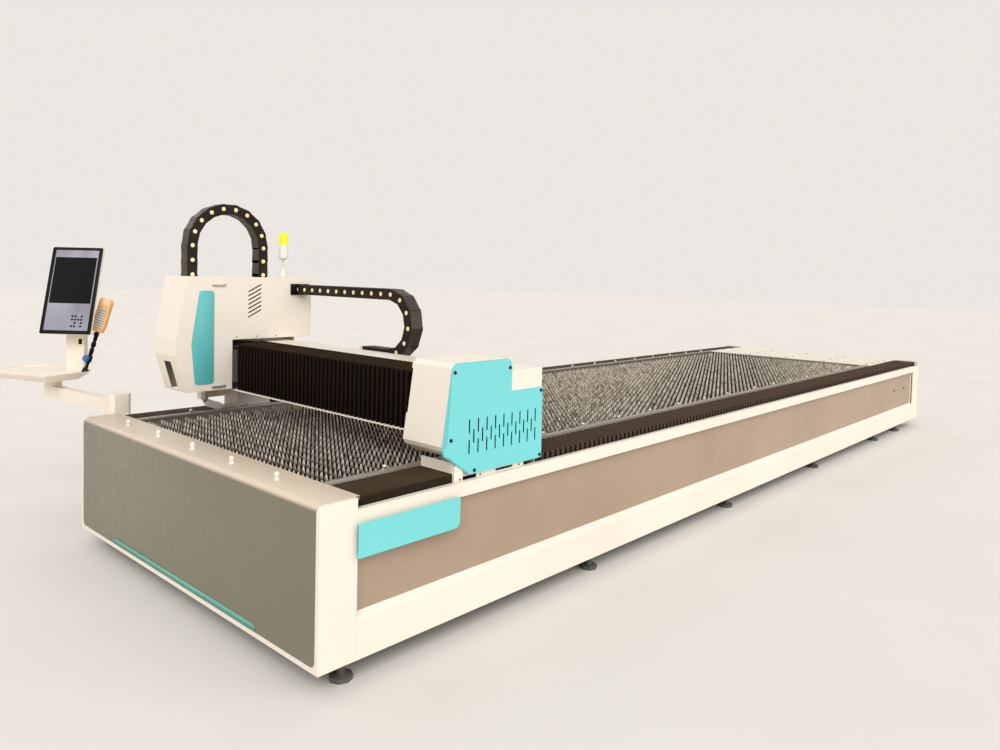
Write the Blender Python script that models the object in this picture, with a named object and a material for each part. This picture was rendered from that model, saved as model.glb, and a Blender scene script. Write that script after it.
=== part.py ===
"""Open-bed fiber laser cutting machine: slat table, travelling gantry, cutting head and console.

Blender 4.5, metres, +Z up. Sizes below are measured from the bed's own corner: X runs along the
bed from its near end, Y across it from its near side, and Z up from the lower edge of the skirts.
The finished model stands on its feet, centred on the bed and console.
"""

import math

import bmesh
import bpy
from mathutils import Matrix, Vector

# Fits and walls
CLEARANCE = 0.0003
OVERRUN = 0.004
WALL = 0.004
PLATE = 0.012

# Bed
BED_LENGTH = 8.28
BED_WIDTH = 2.46
BED_HEIGHT = 0.664
FOOT_HEIGHT = 0.10
END_CAP_DEPTH = 0.18
FAR_CAP_DEPTH = 0.20
RIM = 0.022
EDGE_RADIUS = 0.030
PANEL_CORNER_RADIUS = 0.030
TOP_SHEET_END = 0.205
RAIL_ZONE = 0.262
EDGE_STRIP_WIDTH = 0.026
EDGE_STRIP_TOP = 0.666
TABLE_START = 0.225
TABLE_SPLIT = 3.74
DECK_START = 7.29

# Side skirts
SKIRT_DEPTH = 0.030
UPPER_BEAM_TOP = 0.617
UPPER_BEAM_BOTTOM = 0.552
LOWER_BEAM_TOP = 0.164
BEVEL_TOP = 0.190
SKIRT_END_POST = 0.018
SIGN_LENGTH = 0.560
SIGN_DROP = 0.128

# Under-frame
GIRDER_INNER = 0.250
GIRDER_OUTER = 0.100
GIRDER_TOP = 0.560
GIRDER_BOTTOM = 0.300
SILL_HEIGHT = 0.100
SILL_WIDTH = 0.110
POST_SIZE = 0.090
CROSS_TOP = 0.520
CROSS_BOTTOM = 0.440
FRAME_START = 0.030
FOOT_PAD_RADIUS = 0.050
FOOT_PAD_HEIGHT = 0.020
FOOT_STEM_RADIUS = 0.018
FOOT_FIRST = 0.170
FOOT_PITCH = 1.700
FOOT_LAST = 7.720
FOOT_COUNT = 5

# Rails and racks
RAIL_WIDTH = 0.035
RAIL_HEIGHT = 0.032
RAIL_OFFSET = 0.160
RACK_WIDTH = 0.024
RACK_HEIGHT = 0.028
RACK_OFFSET = 0.232

# Slats
SLAT_PITCH = 0.126
SLAT_THICKNESS = 0.005
SLAT_TIP = 0.652
SLAT_VALLEY = 0.618
SLAT_BOTTOM = 0.552
SLAT_TEETH = 8
COMB_TOP = 0.575
COMB_WIDTH = 0.030
TRANSFER_RADIUS = 0.013
TRANSFER_TOP = 0.692
TRANSFER_PITCH = 0.376
TRANSFER_FIRST = 0.530
TRANSFER_SECOND_ROW = 4.410
TRANSFER_ROW_COUNTS = (10, 8)
END_POST_TOP = 0.700
END_POST_PITCH = 0.390
END_POST_FIRST = 0.455
END_POST_COUNT = 5
END_POST_PLACE = 0.090

# Rail bellows
BELLOWS_TOP = 0.655
BELLOWS_OUTER = 0.036
BELLOWS_BOTTOM = 0.600
PLEAT_DEPTH = 0.014
BELLOWS_WALL = 0.010
SHUT_PLEATS = 16
OPEN_PLEATS = 44
BRACKET_THICKNESS = 0.004

# Gantry, placed by its front face
GANTRY_FRONT = 0.664
CASING_LENGTH = 0.672
CASING_OUTER = 0.020
CASING_WIDTH = 0.290
CASING_TOP = 1.160
CASING_FLOOR = 0.705
CASING_CHIN = 0.785
NOTCH_START = 1.095
NOTCH_TOP = 1.100
SIDE_PLATE_BOTTOM = 0.640
SIDE_PLATE_THICKNESS = 0.004
SIDE_PLATE_NOTCH = 1.000
SIDE_PLATE_TOE = 0.163
VENT_ROWS = 3
VENT_COLUMNS = 9
VENT_WIDTH = 0.008
VENT_HEIGHT = 0.068
VENT_PITCH = 0.0584
VENT_START = 0.811
VENT_FLOOR = 0.734
VENT_ROW_RISE = 0.048
BEAM_FRONT = 0.770
BEAM_REAR = 1.090
BEAM_BOTTOM = 0.862
BEAM_TOP = 1.068
BEAM_RAIL_HEIGHT = 0.022
BEAM_RAIL_WIDTH = 0.030
BEAM_RAIL_INSET = 0.030
BEAM_RAIL_LOWER = BEAM_BOTTOM + BEAM_RAIL_INSET
BEAM_RAIL_UPPER = BEAM_TOP - BEAM_RAIL_INSET - BEAM_RAIL_WIDTH
BEAM_COVER_FRONT = 0.690
BEAM_COVER_TOP = 1.107
BEAM_COVER_BOTTOM = 0.822
BEAM_COVER_REACH = 0.930
BEAM_COVER_FOOT = 0.790
BEAM_PLEATS = 30
BEAM_SHUT_PLEATS = 9
TOP_PLATE_REAR = 1.078
BOTTOM_PLATE_REAR = 0.850
TOOTH_PITCH = 0.080
TOOTH_DEPTH = 0.008
SHEET = 0.003
FAR_CASING_WIDTH = 0.120
FAR_CASING_TOP = 1.100
CARRIAGE_START = 0.740
CARRIAGE_LENGTH = 0.560
CARRIAGE_PLATE = 0.030
BLOCK_LENGTH = 0.100
BLOCK_WIDTH = 0.090
BLOCK_HEIGHT = 0.034

# Energy chain along the beam
CHAIN_START = 1.100
CHAIN_WIDTH = 0.085
CHAIN_HEIGHT = 0.064
CHAIN_RADIUS = 0.172
CHAIN_TOP_LINE = 1.440
CHAIN_SLOT_START = 0.100
CHAIN_BEND_PLACE = 0.976
CHAIN_ANCHOR = 1.216
CHAIN_PITCH = 0.080
CHAIN_NOTCH = 0.007
TRAY_WALL = 0.003

# Head, placed by its near side
HEAD_PARK = 0.530
HEAD_SIDE = BED_WIDTH - HEAD_PARK
HEAD_WIDTH = 0.280
HEAD_TOP = 1.515
HEAD_FRONT_TOP = 0.378
HEAD_FRONT_MIDDLE = 0.318
HEAD_FRONT_BOTTOM = 0.381
HEAD_MIDDLE_UPPER = 1.150
HEAD_MIDDLE_LOWER = 1.050
HEAD_BOTTOM = 0.831
LEG_BACK = 0.665
ARM_BOTTOM = 1.132
ARM_END = 1.215
HEAD_SHELL = 0.003
INLAY_THICKNESS = 0.003
CARRIAGE_BACK = 0.7315
WINDOW_WIDTH = 0.090
WINDOW_FLOOR = 0.845
WINDOW_TOP = 1.010
HEAD_VENTS = 7
HEAD_VENT_PITCH = 0.0263
HEAD_VENT_START = 0.767
HEAD_VENT_FLOOR = 1.262
HEAD_VENT_RUN = 0.088
HEAD_VENT_RISE = 0.046
HEAD_VENT_WIDTH = 0.009
INLAY_TOP = 1.432
INLAY_BOTTOM = 0.873
INLAY_BACK = 0.546
INLAY_FRONT_TOP = 0.478
INLAY_FRONT_MIDDLE = 0.408
INLAY_FRONT_BOTTOM = 0.430
INLAY_WAIST = 1.118
LATCH_START = 0.540
LATCH_LENGTH = 0.074
LATCH_THICKNESS = 0.009
LATCH_UPPER = 1.459
LATCH_LOWER = 0.847
Z_ARCH_FRONT = 0.446
Z_ARCH_RADIUS = 0.230
Z_ARCH_CENTRE = 1.700
Z_ARCH_INSET = 0.070
Z_ARCH_SIDE = HEAD_SIDE + Z_ARCH_INSET
Z_ARCH_FOOT = 1.440
BEACON_PLACE = 1.060
BEACON_INSET = 0.090
BEACON_SIDE = HEAD_SIDE + BEACON_INSET
BEACON_RADIUS = 0.030
BEACON_BASE_SHARES = (
    (1.25, 0), (1.25, 0.2), (0.85, 0.9), (0.8, 1.6), (0.3, 2.3), (0.25, 4.0), (1, 4.2), (1, 6.0))
BEACON_LENS_SHARES = ((1, 0), (1, 2.6), (0.8, 2.9))

# Cutting head
NOZZLE_TIP = 0.735
NOZZLE_X = 0.560
TORCH_RADIUS = 0.036
TORCH_TIP_SHARE = 0.62
TORCH_NECK_SHARE = 0.80
TORCH_CAP_SHARE = 0.70
NOZZLE_WIDTH_SHARES = (0.10, 0.40, 0.60)

# Console
ARM_PIVOT_X = 0.230
ARM_PIVOT_OUT = 0.075
ARM_BASE = 0.648
ARM_DEPTH = 0.087
ARM_THICKNESS = 0.064
ARM_LENGTH = 0.928
ARM_YAW = math.radians(4.6)
KNUCKLE_TOP = 0.772
KNUCKLE_HALF = 0.062
KNUCKLE_CUT = 0.022
BRACKET_BOTTOM = 0.535
PIN_RADIUS = 0.025
PIN_PLAY = 0.0005
PIN_LENGTH = 0.070
HUB_RADIUS = 0.054
TRAY_BASE = 0.777
TRAY_TOP = 0.830
TRAY_DISH = 0.010
TRAY_BACK = 0.170
TRAY_FRONT = 0.240
TRAY_NEAR = 0.240
TRAY_FAR = 0.420
TRAY_INSET = 0.050
TRAY_TURN = math.radians(20)
TRAY_CHAMFER = 0.080
COLUMN_WIDTH = 0.130
COLUMN_DEPTH = 0.042
COLUMN_OFFSET = 0.064
COLUMN_TOP = 1.262
HINGE_LUG = 0.014
SCREEN_WIDTH = 0.360
SCREEN_HEIGHT = 0.620
SCREEN_THICKNESS = 0.045
SCREEN_TILT = math.radians(15)
SCREEN_TURN = math.radians(40)
SCREEN_BEZEL = 0.016
SCREEN_RISE = 0.070
SCREEN_BESIDE_HUB = 0.0664
SCREEN_BEFORE_HUB = 0.110
SCREEN_PIVOT = 1.300
HOLDER_BESIDE_HUB = 0.1524
HOLDER_BEFORE_HUB = 0.148
HOLDER_LEAN = math.radians(15)
HOLDER_TURN = math.radians(-25)
HOLDER_LENGTH = 0.290
HOLDER_SHARES = (
    (0.7, 0.031), (0.7, 0.25), (1.9, 0.28), (1.9, 0.43), (0.9, 0.46), (1.1, 0.90), (1.6, 0.93), (1.6, 1))
PENDANT_LENGTH = 0.240
PENDANT_WIDTH = 0.110
PENDANT_DEPTH = 0.032
PENDANT_TURN = math.radians(30)

FINISHES = {
    "white_paint": ((0.84, 0.80, 0.74), 0.32, 0.0),
    "taupe_paint": ((0.36, 0.31, 0.265), 0.35, 0.1),
    "teal_paint": ((0.20, 0.66, 0.64), 0.35, 0.0),
    "frame_paint": ((0.05, 0.05, 0.052), 0.55, 0.2),
    "slat_steel": ((0.24, 0.215, 0.19), 0.50, 0.8),
    "bright_steel": ((0.62, 0.61, 0.59), 0.28, 1.0),
    "bellows_cloth": ((0.022, 0.020, 0.019), 0.75, 0.0),
    "chain_plastic": ((0.028, 0.027, 0.026), 0.50, 0.0),
    "grey_plate": ((0.45, 0.44, 0.42), 0.40, 0.6),
    "beacon_lens": ((0.86, 0.86, 0.10), 0.25, 0.0),
    "screen_glass": ((0.03, 0.035, 0.05), 0.10, 0.0),
    "orange_plastic": ((0.85, 0.36, 0.06), 0.45, 0.0),
    "copper": ((0.72, 0.43, 0.25), 0.30, 1.0),
}
BODY_PLACES = {}
BODY_EMPTIES = {}


# Scene and bodies


def clear_scene():
    for obj in list(bpy.data.objects):
        bpy.data.objects.remove(obj, do_unlink=True)


def model_centre():
    """The middle of the whole machine, below which the model's origin lies on the floor."""
    tray = [tray_point(*corner) for corner in tray_outline(0)]
    low_x = min(x for x, _ in tray)
    high_y = max(y for _, y in tray)
    return (low_x + BED_LENGTH) / 2, (high_y - sign_face()) / 2


def add_body(name, place, parent=None):
    """An empty on the joint's axis. It carries the pieces that move with it."""
    empty = bpy.data.objects.new(f"{name}_axis", None)
    bpy.context.collection.objects.link(empty)
    start = Vector(BODY_PLACES[parent]) if parent else Vector((*model_centre(), -FOOT_HEIGHT))
    empty.location = Vector(place) - start
    if parent:
        empty.parent = BODY_EMPTIES[parent]
    BODY_PLACES[name] = tuple(place)
    BODY_EMPTIES[name] = empty


def finish(name):
    found = bpy.data.materials.get(name)
    if found:
        return found
    colour, roughness, metallic = FINISHES[name]
    made = bpy.data.materials.new(name)
    made.use_nodes = True
    shader = made.node_tree.nodes["Principled BSDF"]
    shader.inputs["Base Color"].default_value = (*colour, 1)
    shader.inputs["Roughness"].default_value = roughness
    shader.inputs["Metallic"].default_value = metallic
    made.diffuse_color = (*colour, 1)
    return made


def add_mesh(name, shape, body):
    """Turns a shape in bed coordinates into an object whose origin is its body's joint."""
    bmesh.ops.recalc_face_normals(shape, faces=shape.faces)
    bmesh.ops.translate(shape, vec=-Vector(BODY_PLACES[body]), verts=shape.verts)
    mesh = bpy.data.meshes.new(name)
    shape.to_mesh(mesh)
    shape.free()
    obj = bpy.data.objects.new(name, mesh)
    bpy.context.collection.objects.link(obj)
    obj.parent = BODY_EMPTIES[body]
    return obj


def add_part(name, shape, surface, body, round_parts=False):
    obj = add_mesh(name, shape, body)
    obj.data.materials.append(finish(surface))
    if round_parts:
        obj.data.shade_smooth()
        obj.data.set_sharp_from_angle(angle=math.radians(35))
    return obj


def add_tool(obj, shape, body, operation):
    """A hidden shape that is cut from the object or joined to it."""
    tool = add_mesh(f"{obj.name}_{operation.lower()}_{len(obj.modifiers)}", shape, body)
    tool.hide_render = True
    tool.display_type = "WIRE"
    modifier = obj.modifiers.new(operation.title(), "BOOLEAN")
    modifier.operation = operation
    modifier.solver = "EXACT"
    modifier.use_self = operation == "UNION"
    modifier.object = tool


def carve(obj, shape, body):
    add_tool(obj, shape, body, "DIFFERENCE")


def join(obj, shape, body):
    add_tool(obj, shape, body, "UNION")


# Shapes


def box(shape, low, high):
    corners = bmesh.ops.create_cube(shape, size=1)["verts"]
    size = [b - a for a, b in zip(low, high)]
    centre = [(a + b) / 2 for a, b in zip(low, high)]
    bmesh.ops.scale(shape, vec=size, verts=corners)
    bmesh.ops.translate(shape, vec=centre, verts=corners)


def one_box(low, high):
    shape = bmesh.new()
    box(shape, low, high)
    return shape


def on_axis(axis, along, a, b):
    """A point from its place along the axis and its two other coordinates."""
    return {"X": (along, a, b), "Y": (a, along, b), "Z": (a, b, along)}[axis]


def prism(shape, outline, axis, start, end):
    """A closed solid with this outline, from start to end along the axis."""
    rings = []
    for along in (start, end):
        rings.append([shape.verts.new(on_axis(axis, along, a, b)) for a, b in outline])
    first, last = rings
    shape.faces.new(first)
    shape.faces.new(last)
    count = len(outline)
    for i in range(count):
        j = (i + 1) % count
        shape.faces.new((first[i], first[j], last[j], last[i]))


def one_prism(outline, axis, start, end):
    shape = bmesh.new()
    prism(shape, outline, axis, start, end)
    return shape


def arc(centre, radius, start, end, steps):
    """Points on an arc, angles in degrees."""
    angles = [math.radians(start + (end - start) * i / steps) for i in range(steps + 1)]
    return [(centre[0] + radius * math.cos(a), centre[1] + radius * math.sin(a)) for a in angles]


def rounded(low, high, radius, steps=4):
    """A rectangle with round corners, as an outline."""
    (a0, b0), (a1, b1) = low, high
    return (
        arc((a1 - radius, b1 - radius), radius, 0, 90, steps)
        + arc((a0 + radius, b1 - radius), radius, 90, 180, steps)
        + arc((a0 + radius, b0 + radius), radius, 180, 270, steps)
        + arc((a1 - radius, b0 + radius), radius, 270, 360, steps)
    )


def disc(radius, centre, steps=16):
    return arc(centre, radius, 0, 360 * (steps - 1) / steps, steps - 1)


def turned(shape, profile, centre, steps=16):
    """A solid of revolution about a vertical axis, from (radius, height) points, lowest first."""
    rings = []
    for radius, height in profile:
        ring = disc(radius, (centre[0], centre[1]), steps)
        rings.append([shape.verts.new((x, y, height)) for x, y in ring])
    shape.faces.new(rings[0])
    shape.faces.new(rings[-1])
    for lower, upper in zip(rings, rings[1:]):
        for i in range(steps):
            j = (i + 1) % steps
            shape.faces.new((lower[i], lower[j], upper[j], upper[i]))


def turn(shape, angle, centre, axis="Z"):
    bmesh.ops.rotate(
        shape, cent=centre, matrix=Matrix.Rotation(angle, 3, axis), verts=shape.verts
    )


def mirrored(shape):
    """The same shape on the far side of the bed."""
    bmesh.ops.scale(shape, vec=(1, -1, 1), verts=shape.verts)
    bmesh.ops.translate(shape, vec=(0, BED_WIDTH, 0), verts=shape.verts)
    return shape


def sided(side, make):
    """Makes a shape for the near side, or its mirror image for the far side."""
    shape = make()
    return shape if side == "near" else mirrored(shape)


def places(first, pitch, count):
    return [first + pitch * i for i in range(count)]


def frame_stations():
    return places(FOOT_FIRST, FOOT_PITCH, FOOT_COUNT) + [FOOT_LAST]


# Bed


def side_frame(shape, flip):
    """Sill, posts, rack and feet of one side of the under-frame."""

    def at(y):
        return BED_WIDTH - y if flip else y

    def span(x0, x1, y0, y1, z0, z1):
        low, high = sorted((at(y0), at(y1)))
        box(shape, (x0, low, z0), (x1, high, z1))

    sill = SKIRT_DEPTH + CLEARANCE
    end = BED_LENGTH - FRAME_START
    span(FRAME_START, end, GIRDER_OUTER, GIRDER_INNER, GIRDER_BOTTOM, GIRDER_TOP)
    span(FRAME_START, end, sill, sill + SILL_WIDTH, 0, SILL_HEIGHT)
    rack = RACK_OFFSET - RACK_WIDTH / 2
    span(END_CAP_DEPTH, end, rack, rack + RACK_WIDTH, GIRDER_TOP - OVERRUN, GIRDER_TOP + RACK_HEIGHT)
    centre = sill + SILL_WIDTH / 2
    for x in frame_stations():
        half = POST_SIZE / 2
        low = centre - half
        span(x - half, x + half, low, GIRDER_OUTER + half, SILL_HEIGHT - OVERRUN, GIRDER_BOTTOM + OVERRUN)
        stem = [
            (FOOT_PAD_RADIUS, -FOOT_HEIGHT),
            (FOOT_PAD_RADIUS, FOOT_PAD_HEIGHT - FOOT_HEIGHT),
            (FOOT_STEM_RADIUS, FOOT_PAD_HEIGHT - FOOT_HEIGHT),
            (FOOT_STEM_RADIUS, OVERRUN),
        ]
        turned(shape, stem, (x, at(centre)), steps=8)


def build_frame():
    start = one_box(
        (FRAME_START, GIRDER_INNER - OVERRUN, CROSS_BOTTOM),
        (FRAME_START + POST_SIZE, BED_WIDTH - GIRDER_INNER + OVERRUN, CROSS_TOP),
    )
    obj = add_part("bed_frame", start, "frame_paint", "bed")
    rest = bmesh.new()
    side_frame(rest, False)
    side_frame(rest, True)
    sill = SKIRT_DEPTH + CLEARANCE + SILL_WIDTH - OVERRUN
    for x in frame_stations():
        half = POST_SIZE / 2
        box(rest, (x - half, sill, OVERRUN), (x + half, BED_WIDTH - sill, SILL_HEIGHT - OVERRUN))
    for x in frame_stations()[1:]:
        half = POST_SIZE / 2
        inner = GIRDER_INNER - OVERRUN
        box(rest, (x - half, inner, CROSS_BOTTOM), (x + half, BED_WIDTH - inner, CROSS_TOP))
    join(obj, rest, "bed")


def cap_outline(depth):
    """Side view of an end cap: round top edge at the outside, outside at zero."""
    corner = arc((EDGE_RADIUS, BED_HEIGHT - EDGE_RADIUS), EDGE_RADIUS, 180, 90, 5)
    return [(depth, 0), (0, 0)] + corner + [(depth, BED_HEIGHT)]


def build_near_end():
    shape = one_prism(cap_outline(END_CAP_DEPTH), "Y", 0, BED_WIDTH)
    cap = add_part("near_end_cap", shape, "white_paint", "bed", True)
    inner = one_box(
        (PLATE, PLATE, -OVERRUN),
        (END_CAP_DEPTH + OVERRUN, BED_WIDTH - PLATE, BED_HEIGHT - PLATE),
    )
    carve(cap, inner, "bed")
    recess = one_prism(
        rounded((RIM, RIM), (BED_WIDTH - RIM, BED_HEIGHT * 2), PANEL_CORNER_RADIUS, 5),
        "X", -OVERRUN, WALL,
    )
    carve(cap, recess, "bed")
    top = one_box(
        (-OVERRUN, RIM, BED_HEIGHT - EDGE_RADIUS - PLATE),
        (END_CAP_DEPTH + OVERRUN, BED_WIDTH - RIM, BED_HEIGHT + OVERRUN),
    )
    carve(cap, top, "bed")


def build_near_sheet():
    """The folded sheet that faces the near end and turns over its round edge on to the top."""
    gap = CLEARANCE
    outer = arc((EDGE_RADIUS, BED_HEIGHT - EDGE_RADIUS), EDGE_RADIUS, 180, 90, 5)
    inner_radius = EDGE_RADIUS - WALL + gap
    inner = arc((EDGE_RADIUS, BED_HEIGHT - EDGE_RADIUS), inner_radius, 90, 180, 5)
    low = RIM + gap
    outline = [(0, low)] + outer + [(TOP_SHEET_END, BED_HEIGHT)]
    outline += [(TOP_SHEET_END, BED_HEIGHT - WALL)] + inner + [(WALL - gap, low)]
    shape = one_prism(outline, "Y", RIM + gap, BED_WIDTH - RIM - gap)
    sheet = add_part("near_end_panel", shape, "taupe_paint", "bed", True)
    corners = bmesh.new()
    radius = PANEL_CORNER_RADIUS
    for y, start in ((RIM + gap, 180), (BED_WIDTH - RIM - gap, 270)):
        centre_y = y + radius if start == 180 else y - radius
        curve = arc((centre_y, low + radius), radius, start, start + 90, 5)
        outside = y - OVERRUN if start == 180 else y + OVERRUN
        below = low - OVERRUN
        if start == 180:
            edge = [(outside, low + radius)] + curve + [(centre_y, below), (outside, below)]
        else:
            edge = [(centre_y, below)] + curve + [(outside, low + radius), (outside, below)]
        prism(corners, edge, "X", -OVERRUN, WALL + OVERRUN)
    carve(sheet, corners, "bed")
    posts = bmesh.new()
    for y in places(END_POST_FIRST, END_POST_PITCH, END_POST_COUNT):
        turned(posts, transfer_profile(BED_HEIGHT, END_POST_TOP), (END_POST_PLACE, y), 12)
    join(sheet, posts, "bed")
    strip = [
        (END_POST_FIRST, low + OVERRUN),
        (BED_WIDTH - END_POST_FIRST - RIM, low + OVERRUN),
        (BED_WIDTH - END_POST_FIRST - RIM - 2 * PLATE, low + RIM + PLATE),
        (END_POST_FIRST + 2 * PLATE, low + RIM + PLATE),
    ]
    shape = one_prism(strip, "X", -SHEET, -CLEARANCE)
    add_part("near_end_strip", shape, "teal_paint", "bed")


def transfer_profile(base, top):
    """A ball transfer unit: a cup and the crown of its ball."""
    ball = TRANSFER_RADIUS - SHEET
    return [
        (TRANSFER_RADIUS, base - OVERRUN / 2),
        (TRANSFER_RADIUS, top - ball),
        (ball / 2, top),
    ]


def build_far_end():
    """Far cap: cheeks at the height of the side beams, a full-height end wall and the deck."""
    start = BED_LENGTH - FAR_CAP_DEPTH
    lip = BED_LENGTH - PLATE
    outline = [(start, 0), (BED_LENGTH, 0)]
    outline += arc((BED_LENGTH - PLATE / 2, BED_HEIGHT - PLATE / 2), PLATE / 2, 0, 90, 3)
    outline += [(lip, BED_HEIGHT), (lip, UPPER_BEAM_TOP), (start, UPPER_BEAM_TOP)]
    cap = add_part("far_end_cap", one_prism(outline, "Y", 0, BED_WIDTH), "white_paint", "bed", True)
    inner = one_box(
        (start - OVERRUN, PLATE, -OVERRUN), (lip, BED_WIDTH - PLATE, BED_HEIGHT - PLATE)
    )
    carve(cap, inner, "bed")
    recess = one_prism(
        rounded((RIM, RIM), (BED_WIDTH - RIM, BED_HEIGHT - RIM), PANEL_CORNER_RADIUS, 5),
        "X", BED_LENGTH - WALL, BED_LENGTH + OVERRUN,
    )
    carve(cap, recess, "bed")
    inset = RIM + CLEARANCE
    panel = one_prism(
        rounded((inset, inset), (BED_WIDTH - inset, BED_HEIGHT - inset), PANEL_CORNER_RADIUS, 5),
        "X", BED_LENGTH - WALL + CLEARANCE, BED_LENGTH,
    )
    add_part("far_end_panel", panel, "taupe_paint", "bed", True)
    inner_edge = RAIL_ZONE + CLEARANCE
    deck = bmesh.new()
    box(deck, (DECK_START, inner_edge, BED_HEIGHT - PLATE), (lip - CLEARANCE, BED_WIDTH - inner_edge, BED_HEIGHT))
    obj = add_part("far_end_deck", deck, "white_paint", "bed")
    legs = bmesh.new()
    for y in (inner_edge, BED_WIDTH - inner_edge - PLATE):
        box(
            legs,
            (DECK_START + PLATE, y, CROSS_TOP + CLEARANCE),
            (FOOT_LAST + POST_SIZE / 2, y + PLATE, BED_HEIGHT - PLATE / 2),
        )
    join(obj, legs, "bed")


def build_skirts():
    start = END_CAP_DEPTH + CLEARANCE
    end = BED_LENGTH - FAR_CAP_DEPTH - CLEARANCE
    lower = [
        (0, 0), (0, LOWER_BEAM_TOP), (SKIRT_DEPTH - WALL, BEVEL_TOP),
        (SKIRT_DEPTH, BEVEL_TOP), (SKIRT_DEPTH, 0),
    ]
    for side in ("near", "far"):
        upper = sided(side, lambda: one_box(
            (start, 0, UPPER_BEAM_BOTTOM), (end, SKIRT_DEPTH, UPPER_BEAM_TOP)))
        obj = add_part(f"{side}_side_skirt", upper, "white_paint", "bed")
        join(obj, sided(side, lambda: skirt_rest(lower, start, end)), "bed")
        back = SKIRT_DEPTH + CLEARANCE
        panel = sided(side, lambda: one_box(
            (start, back, LOWER_BEAM_TOP), (end, back + SHEET, UPPER_BEAM_BOTTOM + PLATE)))
        add_part(f"{side}_side_panel", panel, "taupe_paint", "bed")


def skirt_rest(lower, start, end):
    """The lower beam, and the narrow uprights that tie it to the upper one behind the panel edge."""
    shape = one_prism(lower, "X", start, end)
    for x in (start, end - SKIRT_END_POST):
        box(
            shape,
            (x, SKIRT_DEPTH - WALL * 2, BEVEL_TOP - PLATE),
            (x + SKIRT_END_POST, SKIRT_DEPTH, UPPER_BEAM_BOTTOM + PLATE),
        )
    return shape


def sign_face():
    return SKIRT_DEPTH * 2 / 3 + SHEET


def build_sign():
    low = (END_CAP_DEPTH - PLATE, UPPER_BEAM_BOTTOM - SIGN_DROP)
    high = (low[0] + SIGN_LENGTH, UPPER_BEAM_BOTTOM + PLATE)
    radius = EDGE_RADIUS
    outline = [(low[0], low[1])]
    outline += arc((high[0] - radius, low[1] + radius), radius, 270, 360, 5)
    outline += [(high[0], high[1]), (low[0], high[1])]
    face = sign_face() - SHEET
    shape = one_prism(outline, "Y", -sign_face(), -face)
    sign = add_part("sign_plate", shape, "teal_paint", "bed", True)
    studs = bmesh.new()
    for x in (low[0] + 3 * radius, high[0] - 3 * radius):
        height = UPPER_BEAM_BOTTOM + PLATE / 2
        ring = disc(PLATE / 3, (x, height), 10)
        prism(studs, ring, "Y", -face - OVERRUN / 4, -CLEARANCE)
    join(sign, studs, "bed")


def slat_outline(inner, outer):
    """One slat across the table, its upper edge cut into saw teeth."""
    pitch = (outer - inner) / SLAT_TEETH
    points = [(inner, SLAT_BOTTOM)]
    for i in range(SLAT_TEETH):
        points.append((inner + pitch * i, SLAT_VALLEY))
        points.append((inner + pitch * (i + 1 / 2), SLAT_TIP))
    return points + [(outer, SLAT_VALLEY), (outer, SLAT_BOTTOM)]


def build_slats():
    inner = RAIL_ZONE + EDGE_STRIP_WIDTH + CLEARANCE
    outer = BED_WIDTH - inner
    combs = (inner, outer - COMB_WIDTH)
    banks = (("slat_bank_near", TABLE_START, TABLE_SPLIT), ("slat_bank_far", TABLE_SPLIT, DECK_START))
    for name, start, end in banks:
        first, last = start + CLEARANCE, end - CLEARANCE
        comb = one_box((first, combs[0], CROSS_TOP + CLEARANCE), (last, combs[0] + COMB_WIDTH, COMB_TOP))
        bank = add_part(name, comb, "slat_steel", "bed")
        rest = bmesh.new()
        for y in combs[1:]:
            box(rest, (first, y, CROSS_TOP + CLEARANCE), (last, y + COMB_WIDTH, COMB_TOP))
        count = round((last - first) / SLAT_PITCH)
        step = (last - first) / count
        for x in places(first + step / 2, step, count):
            prism(rest, slat_outline(inner, outer), "X", x - SLAT_THICKNESS / 2, x + SLAT_THICKNESS / 2)
        join(bank, rest, "bed")


def edge_strip():
    """A bright angle along the table's edge. It stands on the frame's cross members."""
    low = RAIL_ZONE
    high = RAIL_ZONE + EDGE_STRIP_WIDTH
    outline = [
        (low, CROSS_TOP + CLEARANCE), (low, EDGE_STRIP_TOP), (high, EDGE_STRIP_TOP),
        (high, EDGE_STRIP_TOP - WALL), (low + WALL, EDGE_STRIP_TOP - WALL),
        (low + WALL, CROSS_TOP + CLEARANCE),
    ]
    return one_prism(outline, "X", TOP_SHEET_END + CLEARANCE, DECK_START - CLEARANCE)


def strip_transfers():
    shape = bmesh.new()
    middle = RAIL_ZONE + EDGE_STRIP_WIDTH / 2
    for first, count in zip((TRANSFER_FIRST, TRANSFER_SECOND_ROW), TRANSFER_ROW_COUNTS):
        for x in places(first, TRANSFER_PITCH, count):
            turned(shape, transfer_profile(EDGE_STRIP_TOP, TRANSFER_TOP), (x, middle), 6)
    return shape


def build_table_edges():
    for side in ("near", "far"):
        obj = add_part(f"{side}_edge_strip", sided(side, edge_strip), "bright_steel", "bed")
        join(obj, sided(side, strip_transfers), "bed")
        rail = sided(side, lambda: one_box(
            (END_CAP_DEPTH, RAIL_OFFSET - RAIL_WIDTH / 2, GIRDER_TOP + CLEARANCE),
            (BED_LENGTH - FRAME_START, RAIL_OFFSET + RAIL_WIDTH / 2, GIRDER_TOP + RAIL_HEIGHT)))
        add_part(f"{side}_rail", rail, "bright_steel", "bed")


def build_slag_tray():
    """The bin under the slats, standing on the lower cross members."""
    floor = SILL_HEIGHT - OVERRUN + CLEARANCE
    low = (FOOT_FIRST + POST_SIZE, GIRDER_INNER + RIM)
    high = (DECK_START, BED_WIDTH - GIRDER_INNER - RIM)
    obj = add_part(
        "slag_tray",
        one_box((*low, floor), (*high, GIRDER_BOTTOM)), "grey_plate", "bed")
    inner = one_box(
        (low[0] + WALL, low[1] + WALL, floor + WALL),
        (high[0] - WALL, high[1] - WALL, GIRDER_BOTTOM + OVERRUN))
    carve(obj, inner, "bed")


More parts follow.
